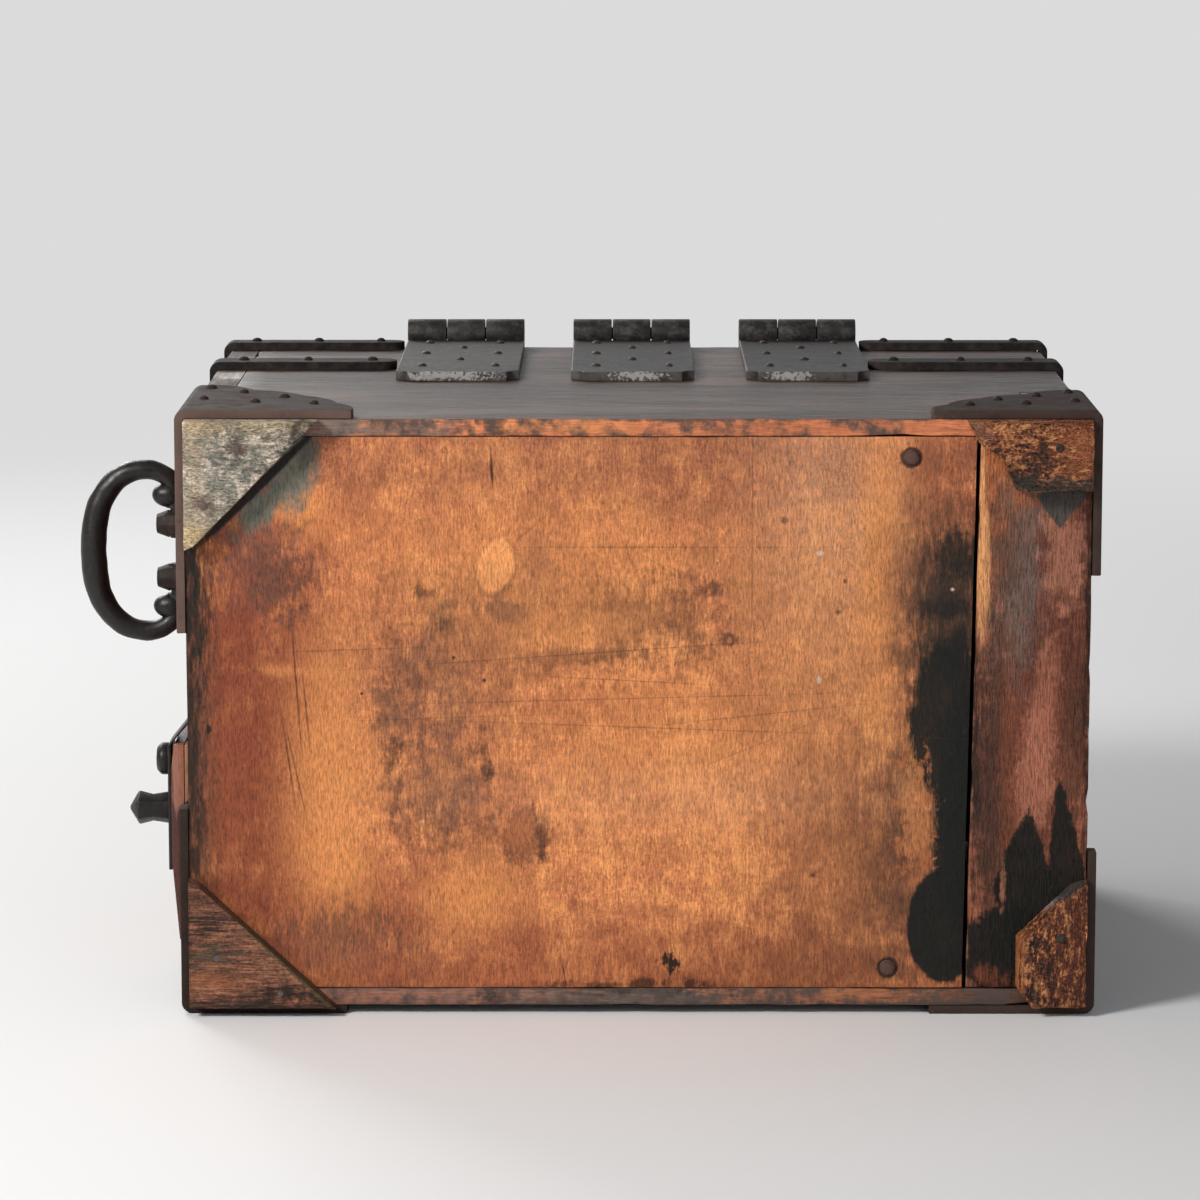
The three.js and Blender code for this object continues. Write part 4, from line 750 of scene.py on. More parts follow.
# Corner blocks: sawn blocks of wood nailed over the corners of the back, as feet for the upright chest.
# Two are whole and weathered, and two are broken off and gnawed along the grain.
FOOT_STEP = 5 * MM
FOOT_ROUND = 0.9 * MM
FOOT_NAIL = 2.6 * MM
FOOT_NAIL_UP = 1.1 * MM
GOUGE_SCALE = 330
FINE_GOUGE = 2.3
BROAD_SHARE = 0.6
FINE_SHARE = 0.4
GOUGE_DEEP = 0.5
foot_grey = wood_finish(
    "foot_grey", (0.34, 1, 1),
    [(0.09, 0.08, 0.064), (0.25, 0.205, 0.155), (0.44, 0.37, 0.285), (0.72, 0.6, 0.48)],
    back_stains_and_painted_light([
        ((0.58, 0.42, 0.27), 7, 280, 5, 40, 0, 0.9, 1.2, 0.7, "smudge"),
        ((0.62, 0.44, 0.22), 7, 250, 16, 6, 0, 0.7, 0.7, 0.85, "streak"),
        ((0.55, 0.39, 0.2), 36, 307, 40, 3, 0, 0.8, 1.0, 0.6, "streak"),
        ((0.15, 0.165, 0.145), 28, 290, 23, 16, 20, 0.9, 1.1, 0.65, "smudge"),
        ((0.24, 0.235, 0.19), 12, 268, 14, 16, 0, 0.9, 1.1, 0.5, "smudge"),
        ((0.05, 0.052, 0.042), 32, 293, 12, 8, 20, 0.9, 1.4, 0.45, "streak"),
        (UMBER, 28, 296, 5, 4, 0, 0.7, 0.9, 0.7, "smudge"),
        (UMBER, 11, 266, 4.5, 4.5, 0, 0.7, 0.9, 0.7, "smudge"),
        (SOOT_AND_SHADOW, 62, 303, 12, 6, 40, 0.7, 0.9, 0.75, "smudge"),
    ]), worn=(0.36, 0.27, 0.16), rough=(0.7, 0.9), wear=0.3, band_scale=60.0, relief=1.0, fibre_depth=0.9,
    weights=(0.2, 0.4, 0.2, 0.2), contrast=(0.2, 0.8), head_tone=(0.13, 0.1, 0.09),
)
foot_brown = wood_finish(
    "foot_brown", (0.12, 1, 1),
    [(0.06, 0.03, 0.02), (0.12, 0.05, 0.03), (0.22, 0.088, 0.05), (0.34, 0.15, 0.08)],
    back_stains_and_painted_light([
        (SOOT_AND_SHADOW, 9, 45, 8, 4, 0, 0.8, 1.3, 0.75, "streak"),
        ((0.06, 0.055, 0.035), 12, 27, 12, 5, 0, 0.9, 1.3, 0.6, "streak"),
        (SOOT_AND_SHADOW, 50, 8, 15, 4, 0, 0.8, 1.2, 0.85, "smudge"),
        (ORANGE, 10, 14, 14, 4, 0, 0.8, 1.2, 0.4, "streak"),
        ((0.09, 0.06, 0.028), 40.5, 34.5, 60, 2.2, -44.4, 0.3, 0.2, 0.9, "fleck"),
        (SOOT_AND_SHADOW, 36, -1, 60, 3.4, 0, 0.5, 0.5, 0.8, "streak"),
    ]), worn=(0.24, 0.12, 0.06), rough=(0.6, 0.85), wear=0.35, band_scale=34.0, relief=0.9, fibre_depth=0.8,
    weights=(0.25, 0.2, 0.4, 0.15), head_tone=(0.11, 0.085, 0.08),
)
BROKEN_TONES = [(0.02, 0.013, 0.011), (0.16, 0.055, 0.029), (0.38, 0.11, 0.04), (0.62, 0.28, 0.115)]
BROKEN_WOOD = {
    "worn": (0.3, 0.13, 0.05), "rough": (0.45, 0.8), "wear": 0.3, "band_scale": 110.0, "relief": 1.7,
    "fibre_depth": 0.9, "weights": (0.2, 0.2, 0.35, 0.25),
}
foot_broken_wide = wood_finish(
    "foot_broken_wide", (0.3, 1, 1), BROKEN_TONES,
    back_stains_and_painted_light([
        (GREEN_BLACK, 440, 291, 11, 9, 0, 0.9, 1.8, 0.6, "smudge"),
        (RED_BROWN, 463, 296, 10, 14, 0, 0.9, 0.9, 0.5, "streak"),
        (PINK, 410, 305, 7, 5, -30, 0.5, 0.6, 0.85, "smudge"),
        (ORANGE, 462, 292, 8, 14, 0, 0.8, 1.4, 0.5, "streak"),
        ((0.035, 0.033, 0.027), 442, 275.5, 60, 6.0, -2, 0.35, 0.5, 0.88, "streak"),
    ]),
    contrast=(0.23, 0.73), head_tone=(0.05, 0.035, 0.03), **BROKEN_WOOD,
)
foot_broken_tall = wood_finish(
    "foot_broken_tall", (1, 1, 0.26), BROKEN_TONES,
    back_stains_and_painted_light([
        (GREEN_BLACK, 444, 20, 6, 16, 0, 0.9, 1.8, 0.6, "smudge"),
        (ORANGE, 434, 28, 3, 26, 0, 0.6, 0.7, 0.75, "streak"),
        ((0.1, 0.028, 0.014), 463, 34, 9, 32, 0, 0.7, 0.9, 0.85, "streak"),
        ((0.06, 0.06, 0.055), 461, 63.5, 12, 2.2, 36, 0.4, 0.4, 0.9, "cloud"),
        # Painted highlight: a pale line along the block's slanted upper edge, next to the strip
        ((0.55, 0.52, 0.48), 441, 48.2, 13, 1.0, 37, 0.4, 0.3, 0.95, "cloud"),
    ]),
    contrast=(0.26, 0.74), head_tone=(0.06, 0.05, 0.045), **BROKEN_WOOD,
)
FEET = {
    # name: solid, finish, slot, depth of the gouges, run of the grain, nails by their places on the back
    "foot_whole_high": (
        "foot_top_left", foot_grey, "worn_wood", 0.7, (0.2, 1, 1), [(28, 296), (11, 266)],
    ),
    "foot_whole_low": (
        "foot_bottom_left", foot_brown, "broken_wood", 0.8, (0.2, 1, 1), [(48, 8), (15, 27)],
    ),
    "foot_broken_high": (
        "foot_top_right", foot_broken_wide, "broken_wood", 2.2, (0.25, 1, 1), [(452, 296)],
    ),
    "foot_broken_low": (
        "foot_bottom_right", foot_broken_tall, "broken_wood", 2.2, (1, 1, 0.3), [(456, 38)],
    ),
}


def dome(shape, place, out, radius, height, sides=12, twist=0.0):
    """A hammered rivet or nail head: a squashed ball half sunk in what it holds."""
    turn = Vector(out).to_track_quat("Z", "Y").to_matrix().to_4x4()
    squash = Matrix.Diagonal((radius, radius, height, 1))
    matrix = Matrix.Translation(place) @ turn @ Matrix.Rotation(twist, 4, "Z") @ squash
    mark = shape.verts.layers.float.get("head") or shape.verts.layers.float.new("head")
    ball = bmesh.ops.create_uvsphere(shape, u_segments=sides, v_segments=6, radius=1, matrix=matrix)
    for vert in ball["verts"]:
        vert[mark] = 1.0


for name, (node, finish, slot, gouging, run, nails) in FEET.items():
    shape = stock(node)
    cut_across(shape, FOOT_STEP, (0, 2))
    cut_across(shape, FOOT_STEP / 2, (1,))
    round_over(shape, FOOT_ROUND)
    low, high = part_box(node)
    shape.normal_update()
    for vert in shape.verts:
        out = (high.y - vert.co.y) / (high.y - low.y)
        spot = Vector([a * b for a, b in zip(vert.co, run)]) * GOUGE_SCALE
        gouge = noise.noise(spot) * BROAD_SHARE + noise.noise(spot * FINE_GOUGE) * FINE_SHARE
        vert.co -= vert.normal * max(0.0, GOUGE_DEEP + gouge) * gouging * MM * out
    for index, (u, v) in enumerate(nails):
        depth = (CASE_LOW.y - low.y - FOOT_NAIL_UP) / MM
        dome(shape, on_back(u, v, -depth), (0, -1, 0), FOOT_NAIL, FOOT_NAIL_UP, 10, index)
    seat(name, shape, finish, slot, node)


# Panel nails: two broad hand-forged heads that hold the back panel to the shelf behind it.
# They were driven in hot and hammered flat, and have rusted into the wood.
NAIL_ROUND = 0.5 * MM
NAIL_PLATE = 2.6 * MM
NAIL_SINK = 1.0 * MM
NAIL_CROWN = 0.6 * MM
NAIL_HAMMER = 0.35 * MM
NAIL_HAMMER_SCALE = 400
NAIL_FOOT_SHARE = 0.98
NAIL_FACE_SHARE = 0.8
NAIL_CROWN_SHARE = 0.74
IRON_DEPTH = 0.7 * MM
SCALE_NOISE = (70.0, 6.0, 0.65)
PIT_NOISE = (520.0, 4.0, 0.65)
HAMMER_SCALE = 130.0
RUB_SCALE = 160.0
DARKER = 0.6
LIGHTER = 1.4
DEEP_RUST = 0.4
RUBBED_TONE = 0.8
RUBBED_BARE = 0.3
HEAD_TONE = 0.8
HEAD_DULL = 0.5
RUST_DULL = 0.2
BEATEN_HEIGHT = 0.5
PIT_HEIGHT = 0.6


def iron_finish(
    name, dark, rust, bright, rusting=0.5, wear=0.5, metal=0.5, rough=(0.42, 0.68), relief=0.5,
    head_tone=(0.05, 0.03, 0.024), stains_and_painted_light=(), gloss=0.35,
):
    """Forged iron with scale, rust in its hollows, bare metal on its rubbed edges and darker rivets."""
    material, tree, shader = new_finish(name)
    place = wire(tree, "TexCoord").outputs["Object"]
    scale = cloudy(tree, place, *SCALE_NOISE)
    pits = cloudy(tree, place, *PIT_NOISE)
    hammer = {"Vector": place, "Scale": HAMMER_SCALE, "Randomness": 1.0}
    beaten = wire(tree, "TexVoronoi", hammer, feature="SMOOTH_F1").outputs["Distance"]
    edge = wire(tree, "Attribute", attribute_name="edge").outputs["Fac"]
    worn = {"Vector": place, "Edge": edge, "Amount": wear, "Scale": RUB_SCALE}
    rubbed = place_group(tree, WEAR, worn)["Mask"]
    rusty = math(tree, "MULTIPLY", stretch(tree, scale, 0.42, 0.66), rusting, clamp=True)
    shade = stretch(tree, pits, 0.35, 0.7)
    darker, lighter = (tuple(part * share for part in dark) for share in (DARKER, LIGHTER))
    tone = mix(tree, shade, darker, lighter)
    rust_tone = mix(tree, shade, tuple(part * DEEP_RUST for part in rust), rust)
    tone = mix(tree, rusty, tone, rust_tone)
    tone = mix(tree, math(tree, "MULTIPLY", rubbed, RUBBED_TONE), tone, bright)
    for stain_and_painted_light in stains_and_painted_light:
        tone = lay_stain_and_painted_light(tree, place, tone, stain_and_painted_light, shade)
    head = wire(tree, "Attribute", attribute_name="head").outputs["Fac"]
    tone = mix(tree, math(tree, "MULTIPLY", head, HEAD_TONE), tone, head_tone)
    tree.links.new(tone, shader.inputs["Base Color"])
    bare = math(tree, "ADD", math(tree, "MULTIPLY", rubbed, RUBBED_BARE), metal)
    bare = math(tree, "SUBTRACT", bare, rusty, clamp=True)
    bare = math(tree, "SUBTRACT", bare, math(tree, "MULTIPLY", head, HEAD_DULL), clamp=True)
    tree.links.new(bare, shader.inputs["Metallic"])
    dull = stretch(tree, pits, 0.2, 0.8, *rough)
    dull = math(tree, "ADD", dull, math(tree, "MULTIPLY", rusty, RUST_DULL))
    tree.links.new(dull, shader.inputs["Roughness"])
    dents = math(tree, "MULTIPLY", beaten, BEATEN_HEIGHT)
    height = math(tree, "ADD", math(tree, "MULTIPLY", pits, PIT_HEIGHT), dents)
    roughen(tree, shader, height, relief, IRON_DEPTH)
    shader.inputs["Specular IOR Level"].default_value = gloss
    return material


nail_iron = iron_finish(
    "nail_iron", (0.06, 0.032, 0.027), (0.12, 0.05, 0.04), (0.15, 0.075, 0.06), 0.9, 0.3, 0.0, (0.6, 0.8),
    head_tone=(0.1, 0.048, 0.04),
)
for name in ("panel_nail_upper", "panel_nail_lower"):
    low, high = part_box(name)
    middle = (low + high) / 2
    radius = (high.x - low.x) / 2
    face = Vector((middle.x, CASE_LOW.y + NAIL_SINK, middle.z))
    shape = bmesh.new()
    bmesh.ops.create_cone(
        shape, cap_ends=True, segments=20, radius1=radius * NAIL_FOOT_SHARE,
        radius2=radius * NAIL_FACE_SHARE, depth=NAIL_PLATE,
        matrix=Matrix.Translation(face) @ Matrix.Rotation(pi / 2, 4, "X"),
    )
    round_over(shape, NAIL_ROUND)
    for vert in shape.verts:
        vert.co += noise.noise_vector(vert.co * NAIL_HAMMER_SCALE) * NAIL_HAMMER
    dome(shape, face - Vector((0, NAIL_SINK, 0)), (0, -1, 0), radius * NAIL_CROWN_SHARE, NAIL_CROWN)
    seat(name + "_head", shape, nail_iron, "rusted_iron", name)


# Corner irons: scalloped quarters of thick sheet iron, folded over the long edges and riveted on.
# The smith cut the scallops with a chisel, so they are uneven, and the edges near the back are rusted.
# Painted shade darkens the irons on the right.
IRON = 4.5 * MM
GAP = 0.3 * MM
BEND = 1.0 * MM
IRON_RIM = 0.7 * MM
BEND_STEPS = 5
RIVET = 2.9 * MM
RIVET_DOME = 2.0 * MM
RIVET_SPREAD = 0.12
RIVET_BEAT = 2.4
RIVET_PLACE_BEAT = 900
RIM_BEND = radians(60)
FLAT_UP = 0.99
LOBE_STEPS = 6
LOBE_SHARE = 1.1
CRUMPLE_SCALE = 90
CRUMPLE_SHIFT = 30
CUSP_SHARES = [(1, 0), (0.9, 0.27), (0.68, 0.57), (0.36, 0.79), (0.1, 1)]
CORNER_RIVET_SHARES = [(0.08, 0.42), (0.08, 0.86), (0.3, 0.68), (0.56, 0.5), (0.4, 0.3), (0.76, 0.24)]
CORNERS = {
    # edge of the case: its side along x and along z
    "top_left": (-1, 1), "top_right": (1, 1), "bottom_left": (-1, -1), "bottom_right": (1, -1),
}
bend_half = pi / 4 * (BEND + GAP + IRON / 2)
corner_iron = iron_finish(
    "corner_iron", (0.024, 0.0155, 0.013), (0.062, 0.029, 0.022), (0.13, 0.085, 0.07), 0.7, 0.6, 0.0,
    (0.55, 0.8), head_tone=(0.02, 0.013, 0.011), gloss=0.12,
    stains_and_painted_light=[
        # A darker patch over the lower left iron
        ((0.014, 0.009, 0.0075), on_back(20, 0), (90 * MM, 120 * MM, 140 * MM), 0, 0.15, 0.2, 0.85),
        # Painted shade over the irons on the right
        ((0.02, 0.012, 0.01), on_back(450, 150), (100 * MM, 140 * MM, 260 * MM), 0, 0.15, 0.2, 0.6),
    ],
)


def scallops(wide, deep):
    """Points of a scalloped edge, from its end on the near side round to its far side."""
    points = [(wide, 0.0)]
    cusps = [(a * wide, b * deep) for a, b in CUSP_SHARES]
    for (x0, y0), (x1, y1) in zip(cusps, cusps[1:]):
        pull = ((x0 + x1) / 2 * LOBE_SHARE, (y0 + y1) / 2 * LOBE_SHARE)
        for index in range(1, LOBE_STEPS + 1):
            t = index / LOBE_STEPS
            shares = ((1 - t) ** 2, 2 * t * (1 - t), t ** 2)
            points.append((
                shares[0] * x0 + shares[1] * pull[0] + shares[2] * x1,
                shares[0] * y0 + shares[1] * pull[1] + shares[2] * y1,
            ))
    return points


def sheet_iron(outline, thickness, rim):
    """A flat sheet with the given outline, standing up by its thickness, with a rounded rim."""
    shape = bmesh.new()
    face = shape.faces.new([shape.verts.new((a, b, 0)) for a, b in outline])
    out = bmesh.ops.extrude_face_region(shape, geom=[face])["geom"]
    bmesh.ops.translate(shape, verts=points_in(out), vec=(0, 0, thickness))
    bmesh.ops.recalc_face_normals(shape, faces=shape.faces)
    rims = [
        edge for edge in shape.edges
        if edge.calc_face_angle(0) > RIM_BEND and all(vert.co.z > thickness / 2 for vert in edge.verts)
    ]
    bmesh.ops.bevel(
        shape, geom=rims, offset=rim, offset_type="OFFSET", affect="EDGES", segments=2, profile=0.5,
        material=-1, clamp_overlap=True,
    )
    flat = [face for face in shape.faces if face.normal.z > FLAT_UP]
    bmesh.ops.inset_region(shape, faces=flat, thickness=rim, use_even_offset=True)
    return shape


def fold(spot):
    """Where a point of the flat sheet lies once the sheet is bent over the board's edge."""
    along, y, up = spot
    if along >= bend_half:
        return Vector((BEND + along - bend_half, y, up + GAP))
    if along <= -bend_half:
        return Vector((-up - GAP, y, -BEND + along + bend_half))
    angle = pi / 4 * (1 - along / bend_half)
    radius = BEND + up + GAP
    return Vector((BEND - radius * sin(angle), y, -BEND + radius * cos(angle)))


def bent_iron(name, outline, rivets, edge_spot, finish, node, side_x, side_z, crumple=0.5):
    """Bends a sheet over one long edge of the case, adds its rivets and mirrors it into place."""
    shape = sheet_iron(outline, IRON, IRON_RIM)
    for index in range(-BEND_STEPS, BEND_STEPS + 1):
        everything = shape.verts[:] + shape.edges[:] + shape.faces[:]
        cut = (bend_half * index / BEND_STEPS, 0, 0)
        bmesh.ops.bisect_plane(shape, geom=everything, dist=CLOSE, plane_co=cut, plane_no=(1, 0, 0))
    for vert in shape.verts:
        spot = vert.co * CRUMPLE_SCALE + Vector((edge_spot.x, edge_spot.z, 0)) * CRUMPLE_SHIFT
        sway = noise.noise_vector(spot) * crumple * MM
        vert.co += Vector((sway.x, sway.y, 0))
    for vert in shape.verts:
        vert.co = fold(vert.co)
    for index, (along, y) in enumerate(rivets):
        head = fold((along + (bend_half - BEND) * (1 if along > 0 else -1), y, IRON))
        out = (0, 0, 1) if along > 0 else (-1, 0, 0)
        size = 1 + RIVET_SPREAD * sin(index * RIVET_BEAT + y * RIVET_PLACE_BEAT)
        dome(shape, head, out, RIVET * size, RIVET_DOME, 12, index)
    place = Matrix.Translation(edge_spot) @ Matrix.Diagonal((-side_x, 1, side_z, 1))
    bmesh.ops.transform(shape, matrix=place, verts=shape.verts)
    seat(name, shape, finish, "rusted_iron", node)


def edge_of(side_x, side_z, y):
    return Vector((
        CASE_LOW.x if side_x < 0 else CASE_HIGH.x, y, CASE_LOW.z if side_z < 0 else CASE_HIGH.z,
    ))


def reaches(node, corner, side_x, side_z):
    """How far an iron reaches from its edge along the top or bottom, along the side, and back."""
    low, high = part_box(node)
    wide = (high.x - corner.x) if side_x < 0 else (corner.x - low.x)
    tall = (corner.z - low.z) if side_z > 0 else (high.z - corner.z)
    return wide, tall, high.y - low.y


shift = bend_half - BEND
for edge_name, (side_x, side_z) in CORNERS.items():
    node = f"corner_iron_{edge_name}"
    corner = edge_of(side_x, side_z, CASE_LOW.y)
    wide, tall, deep = reaches(node, corner, side_x, side_z)
    outline = [(a + shift, b) for a, b in scallops(wide, deep)]
    outline += [(-a - shift, b) for a, b in reversed(scallops(tall, deep))]
    rivets = [(a * wide, b * deep) for a, b in CORNER_RIVET_SHARES] if side_z > 0 else []
    rivets += [(-a * tall, b * deep) for a, b in CORNER_RIVET_SHARES]
    name = f"corner_plate_{edge_name}"
    bent_iron(name, outline, rivets, corner, corner_iron, node, side_x, side_z)


# Bands: flat iron bars bent over the long edges, two on each side, from the walls to the outer hinges.
# They are forged black, with rivets nearly as wide as the bar.
BAND_RIVET_SHARES = (0.14, 0.5, 0.86)
BAND_END_STEPS = 5
BAND_CRUMPLE = 0.35
band_iron = iron_finish(
    "band_iron", (0.009, 0.008, 0.008), (0.03, 0.016, 0.012), (0.04, 0.03, 0.025), 0.5, 0.4, 0.0,
    (0.55, 0.75), head_tone=(0.018, 0.013, 0.012), gloss=0.14,
)
for where in ("near", "far"):
    for edge_name, (side_x, side_z) in CORNERS.items():
        node = f"band_{where}_{edge_name}"
        corner = edge_of(side_x, side_z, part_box(node)[0].y)
        flat, tall, width = reaches(node, corner, side_x, side_z)
        half = width / 2
        turns = [pi * index / BAND_END_STEPS for index in range(BAND_END_STEPS + 1)]
        arc = [(sin(turn) * half, half - cos(turn) * half) for turn in turns]
        outline = [(flat + shift - half + a, b) for a, b in arc]
        outline += [(-(tall + shift - half + a), b) for a, b in reversed(arc)]
        rivets = [(share * flat, half) for share in BAND_RIVET_SHARES] if side_z > 0 else []
        rivets += [(-share * tall, half) for share in BAND_RIVET_SHARES]
        name = f"strap_iron_{where}_{edge_name}"
        bent_iron(name, outline, rivets, corner, band_iron, node, side_x, side_z, BAND_CRUMPLE)


# Strap hinges: three pairs of thick leaves with ogee corners, a rolled knuckle and a pin of round bar.
# The near edge of each leaf is filed, and on the leaves on the case a highlight is painted along part of
# it.
# The door's leaves hang down the front.
LEAF = 5 * MM
LEAF_RIM = 0.6 * MM
NOTCH = 7 * MM
NOTCH_STEPS = 5
FILED_HIGHLIGHT_UP = 2.8 * MM
KNUCKLE_SEGMENTS = 40
KNUCKLE_ROUND = 0.5 * MM
PIN_ROUND = 0.6 * MM
LEAF_RIVET_SIZE = 0.85
LEAF_RIVET_BEAT = 2.1
LEAF_DOME_SHARE = 0.8
LEAF_SHADING_HALF = (50 * MM, 70 * MM, 30 * MM)
FILED_HIGHLIGHT_DEEP = 1.6 * MM
FILED_HIGHLIGHT_TALL = 2 * MM
LEAF_RIVET_SHARES = [
    (-0.3, 0.18), (0.3, 0.18), (0, 0.37), (-0.3, 0.56), (0.3, 0.56), (0, 0.74), (-0.3, 0.9), (0.3, 0.9),
]
# Painted highlight on the filed near edges
FILED_HIGHLIGHT = (0.34, 0.33, 0.32)

# Painted light and shade: the first hinge, on the left, greyer and the third, on the right, blacker,
# as the light falls off to the right, and a highlight along a part of each filed near edge
painted_leaf_light = []
for number, tone, strength in ((1, (0.034, 0.031, 0.029), 0.6), (3, (0.007, 0.0055, 0.005), 0.5)):
    low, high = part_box(f"hinge_{number}_case_leaf")
    painted_leaf_light.append((tone, (low + high) / 2, LEAF_SHADING_HALF, 0, 0.1, 0.2, strength))
for number, (share, length) in enumerate(((-0.1, 0.62), (0.05, 0.3), (-0.15, 0.24)), 1):
    low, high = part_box(f"hinge_{number}_case_leaf")
    spot = ((low.x + high.x) / 2 + share * (high.x - low.x), low.y, low.z + FILED_HIGHLIGHT_UP)
    half = (length * (high.x - low.x) / 2, FILED_HIGHLIGHT_DEEP, FILED_HIGHLIGHT_TALL)
    painted_leaf_light.append((FILED_HIGHLIGHT, spot, half, 0, 0.35, 0.9, 0.9))
leaf_iron = iron_finish(
    "leaf_iron", (0.015, 0.0135, 0.013), (0.034, 0.021, 0.017), (0.09, 0.08, 0.072), 0.4, 0.45, 0.12,
    (0.42, 0.66), 0.6, head_tone=(0.02, 0.011, 0.009), stains_and_painted_light=painted_leaf_light, gloss=0.3,
)
pin_iron = iron_finish(
    "pin_iron", (0.02, 0.019, 0.018), (0.05, 0.03, 0.024), (0.16, 0.15, 0.14), 0.5, 0.5, 0.5,
)


def ogee_leaf(half, reach, near):
    """A leaf's outline: its far end has a hollow cut out of each corner."""
    points = [(-half, near)]
    for side in (-1, 1):
        hollow = []
        for index in range(NOTCH_STEPS + 1):
            turn = pi / 2 * index / NOTCH_STEPS
            hollow.append((side * (half - NOTCH * sin(turn)), reach - NOTCH * cos(turn)))
        points += hollow if side < 0 else reversed(hollow)
    points.append((half, near))
    return points


def knuckle(shape, from_x, to_x, radius, bore, middle):
    """A rolled eye about the hinge's axis, with rounded ends."""
    tube = bmesh.new()
    matrix = Matrix.Translation(Vector((from_x, 0, 0))) @ Matrix.Rotation(pi / 2, 4, "Y")
    bmesh.ops.create_circle(tube, segments=KNUCKLE_SEGMENTS, radius=radius, matrix=matrix)
    bmesh.ops.create_circle(tube, segments=KNUCKLE_SEGMENTS, radius=bore, matrix=matrix)
    bmesh.ops.bridge_loops(tube, edges=tube.edges[:])
    out = bmesh.ops.extrude_face_region(tube, geom=tube.faces[:])["geom"]
    bmesh.ops.translate(tube, verts=points_in(out), vec=(to_x - from_x, 0, 0))
    bmesh.ops.recalc_face_normals(tube, faces=tube.faces)
    round_over(tube, KNUCKLE_ROUND, crease=RIM_BEND)
    bmesh.ops.translate(tube, verts=tube.verts, vec=middle)
    piece = bpy.data.meshes.new("eye")
    tube.to_mesh(piece)
    tube.free()
    shape.from_mesh(piece)
    bpy.data.meshes.remove(piece)


AXIS = Vector(next(joint["pos_m"] for joint in frame["joints"] if joint["name"] == "door_hinge"))
for number in (1, 2, 3):
    case_node = f"hinge_{number}_case_leaf"
    door_node = f"hinge_{number}_door_leaf"
    pin_node = f"hinge_{number}_pin"
    low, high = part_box(case_node)
    eye_low, eye_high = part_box(pin_node)
    middle = Vector(((low.x + high.x) / 2, AXIS.y, AXIS.z))
    half = (high.x - low.x) / 2
    radius = AXIS.z - low.z
    pin = (eye_high.z - eye_low.z) / 2
    bore = pin + GAP
    third = half * 2 / 3
    slot_half, slot_deep = third / 2 + GAP, radius + GAP * 2
    for node, title, reach, on_door in (
        (case_node, "leaf_on_case", AXIS.y - low.y, False),
        (door_node, "leaf_on_door", AXIS.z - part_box(door_node)[0].z, True),
    ):
        if on_door:
            neck = third / 2 - GAP
            outline = ogee_leaf(half, reach, slot_deep)
            outline += [(neck, slot_deep), (neck, 0), (-neck, 0), (-neck, slot_deep)]
        else:
            outline = ogee_leaf(half, reach, 0)
            outline += [(slot_half, 0), (slot_half, slot_deep), (-slot_half, slot_deep), (-slot_half, 0)]
        shape = sheet_iron(outline, LEAF, LEAF_RIM)
        for index, (a, b) in enumerate(LEAF_RIVET_SHARES):
            spot = Vector((a * half * 2, reach - b * (reach - radius), LEAF))
            size = LEAF_RIVET_SIZE + RIVET_SPREAD * sin(index * LEAF_RIVET_BEAT + number)
            dome(shape, spot, (0, 0, 1), RIVET * size, RIVET_DOME * LEAF_DOME_SHARE, 14, index)
        if on_door:
            lie = Matrix(((1, 0, 0, 0), (0, 0, 1, radius - LEAF), (0, -1, 0, 0), (0, 0, 0, 1)))
        else:
            lie = Matrix(((1, 0, 0, 0), (0, -1, 0, 0), (0, 0, 1, -radius), (0, 0, 0, 1)))
        bmesh.ops.transform(shape, matrix=Matrix.Translation(middle) @ lie, verts=shape.verts)
        if on_door:
            knuckle(shape, -neck, neck, radius, bore, middle)
        else:
            knuckle(shape, -half, -slot_half, radius, bore, middle)
            knuckle(shape, slot_half, half, radius, bore, middle)
        body = "door" if on_door else "case"
        seat(f"hinge_{number}_{title}", shape, leaf_iron, "steel_grey", node, body=body)
    shape = bmesh.new()
    matrix = Matrix.Translation(middle) @ Matrix.Rotation(pi / 2, 4, "Y")
    bmesh.ops.create_cone(
        shape, cap_ends=True, segments=24, radius1=pin, radius2=pin, depth=half * 2, matrix=matrix,
    )
    round_over(shape, PIN_ROUND)
    seat(f"hinge_{number}_round_bar", shape, pin_iron, "steel_grey", pin_node)


# Door: one broad board with two battens across its inner face, which keep it flat.
# It is stained and oiled like the panel, and its corners are bound with thin scalloped iron.
DOOR_ROUND = BOARD_ROUND * 1.5
DOOR_BRUISE = BOARD_BRUISE * 0.6
DOOR_BRUISE_SCALE = 50
DOOR_IRON = 3 * MM
DOOR_RIM = 0.5 * MM
DOOR_RIVET_SHARE = 0.9
DOOR_RIVET_PLACES = [(0.14, 0.14), (0.7, 0.14), (0.14, 0.7), (0.46, 0.46)]
door_wood = wood_finish(
    "door_wood", (0.05, 1, 1), [(0.22, 0.07, 0.035), (0.36, 0.125, 0.055), (0.5, 0.19, 0.08)],
    worn=(0.55, 0.28, 0.14), rough=(0.35, 0.55), band_scale=12.0,
)
for name, node, cuts, finish, slot in (
    ("door_panel", "door_board", (0, 2), door_wood, "warm_wood"),
    ("batten_left", "door_batten_left", (2,), inner_board, "inner_wood"),
    ("batten_right", "door_batten_right", (2,), inner_board, "inner_wood"),
):
    shape = stock(node)
    cut_across(shape, BOARD_CUTS, cuts)
    round_over(shape, DOOR_ROUND)
    bruise(shape, DOOR_BRUISE, DOOR_BRUISE_SCALE)
    seat(name, shape, finish, slot, node, body="door")

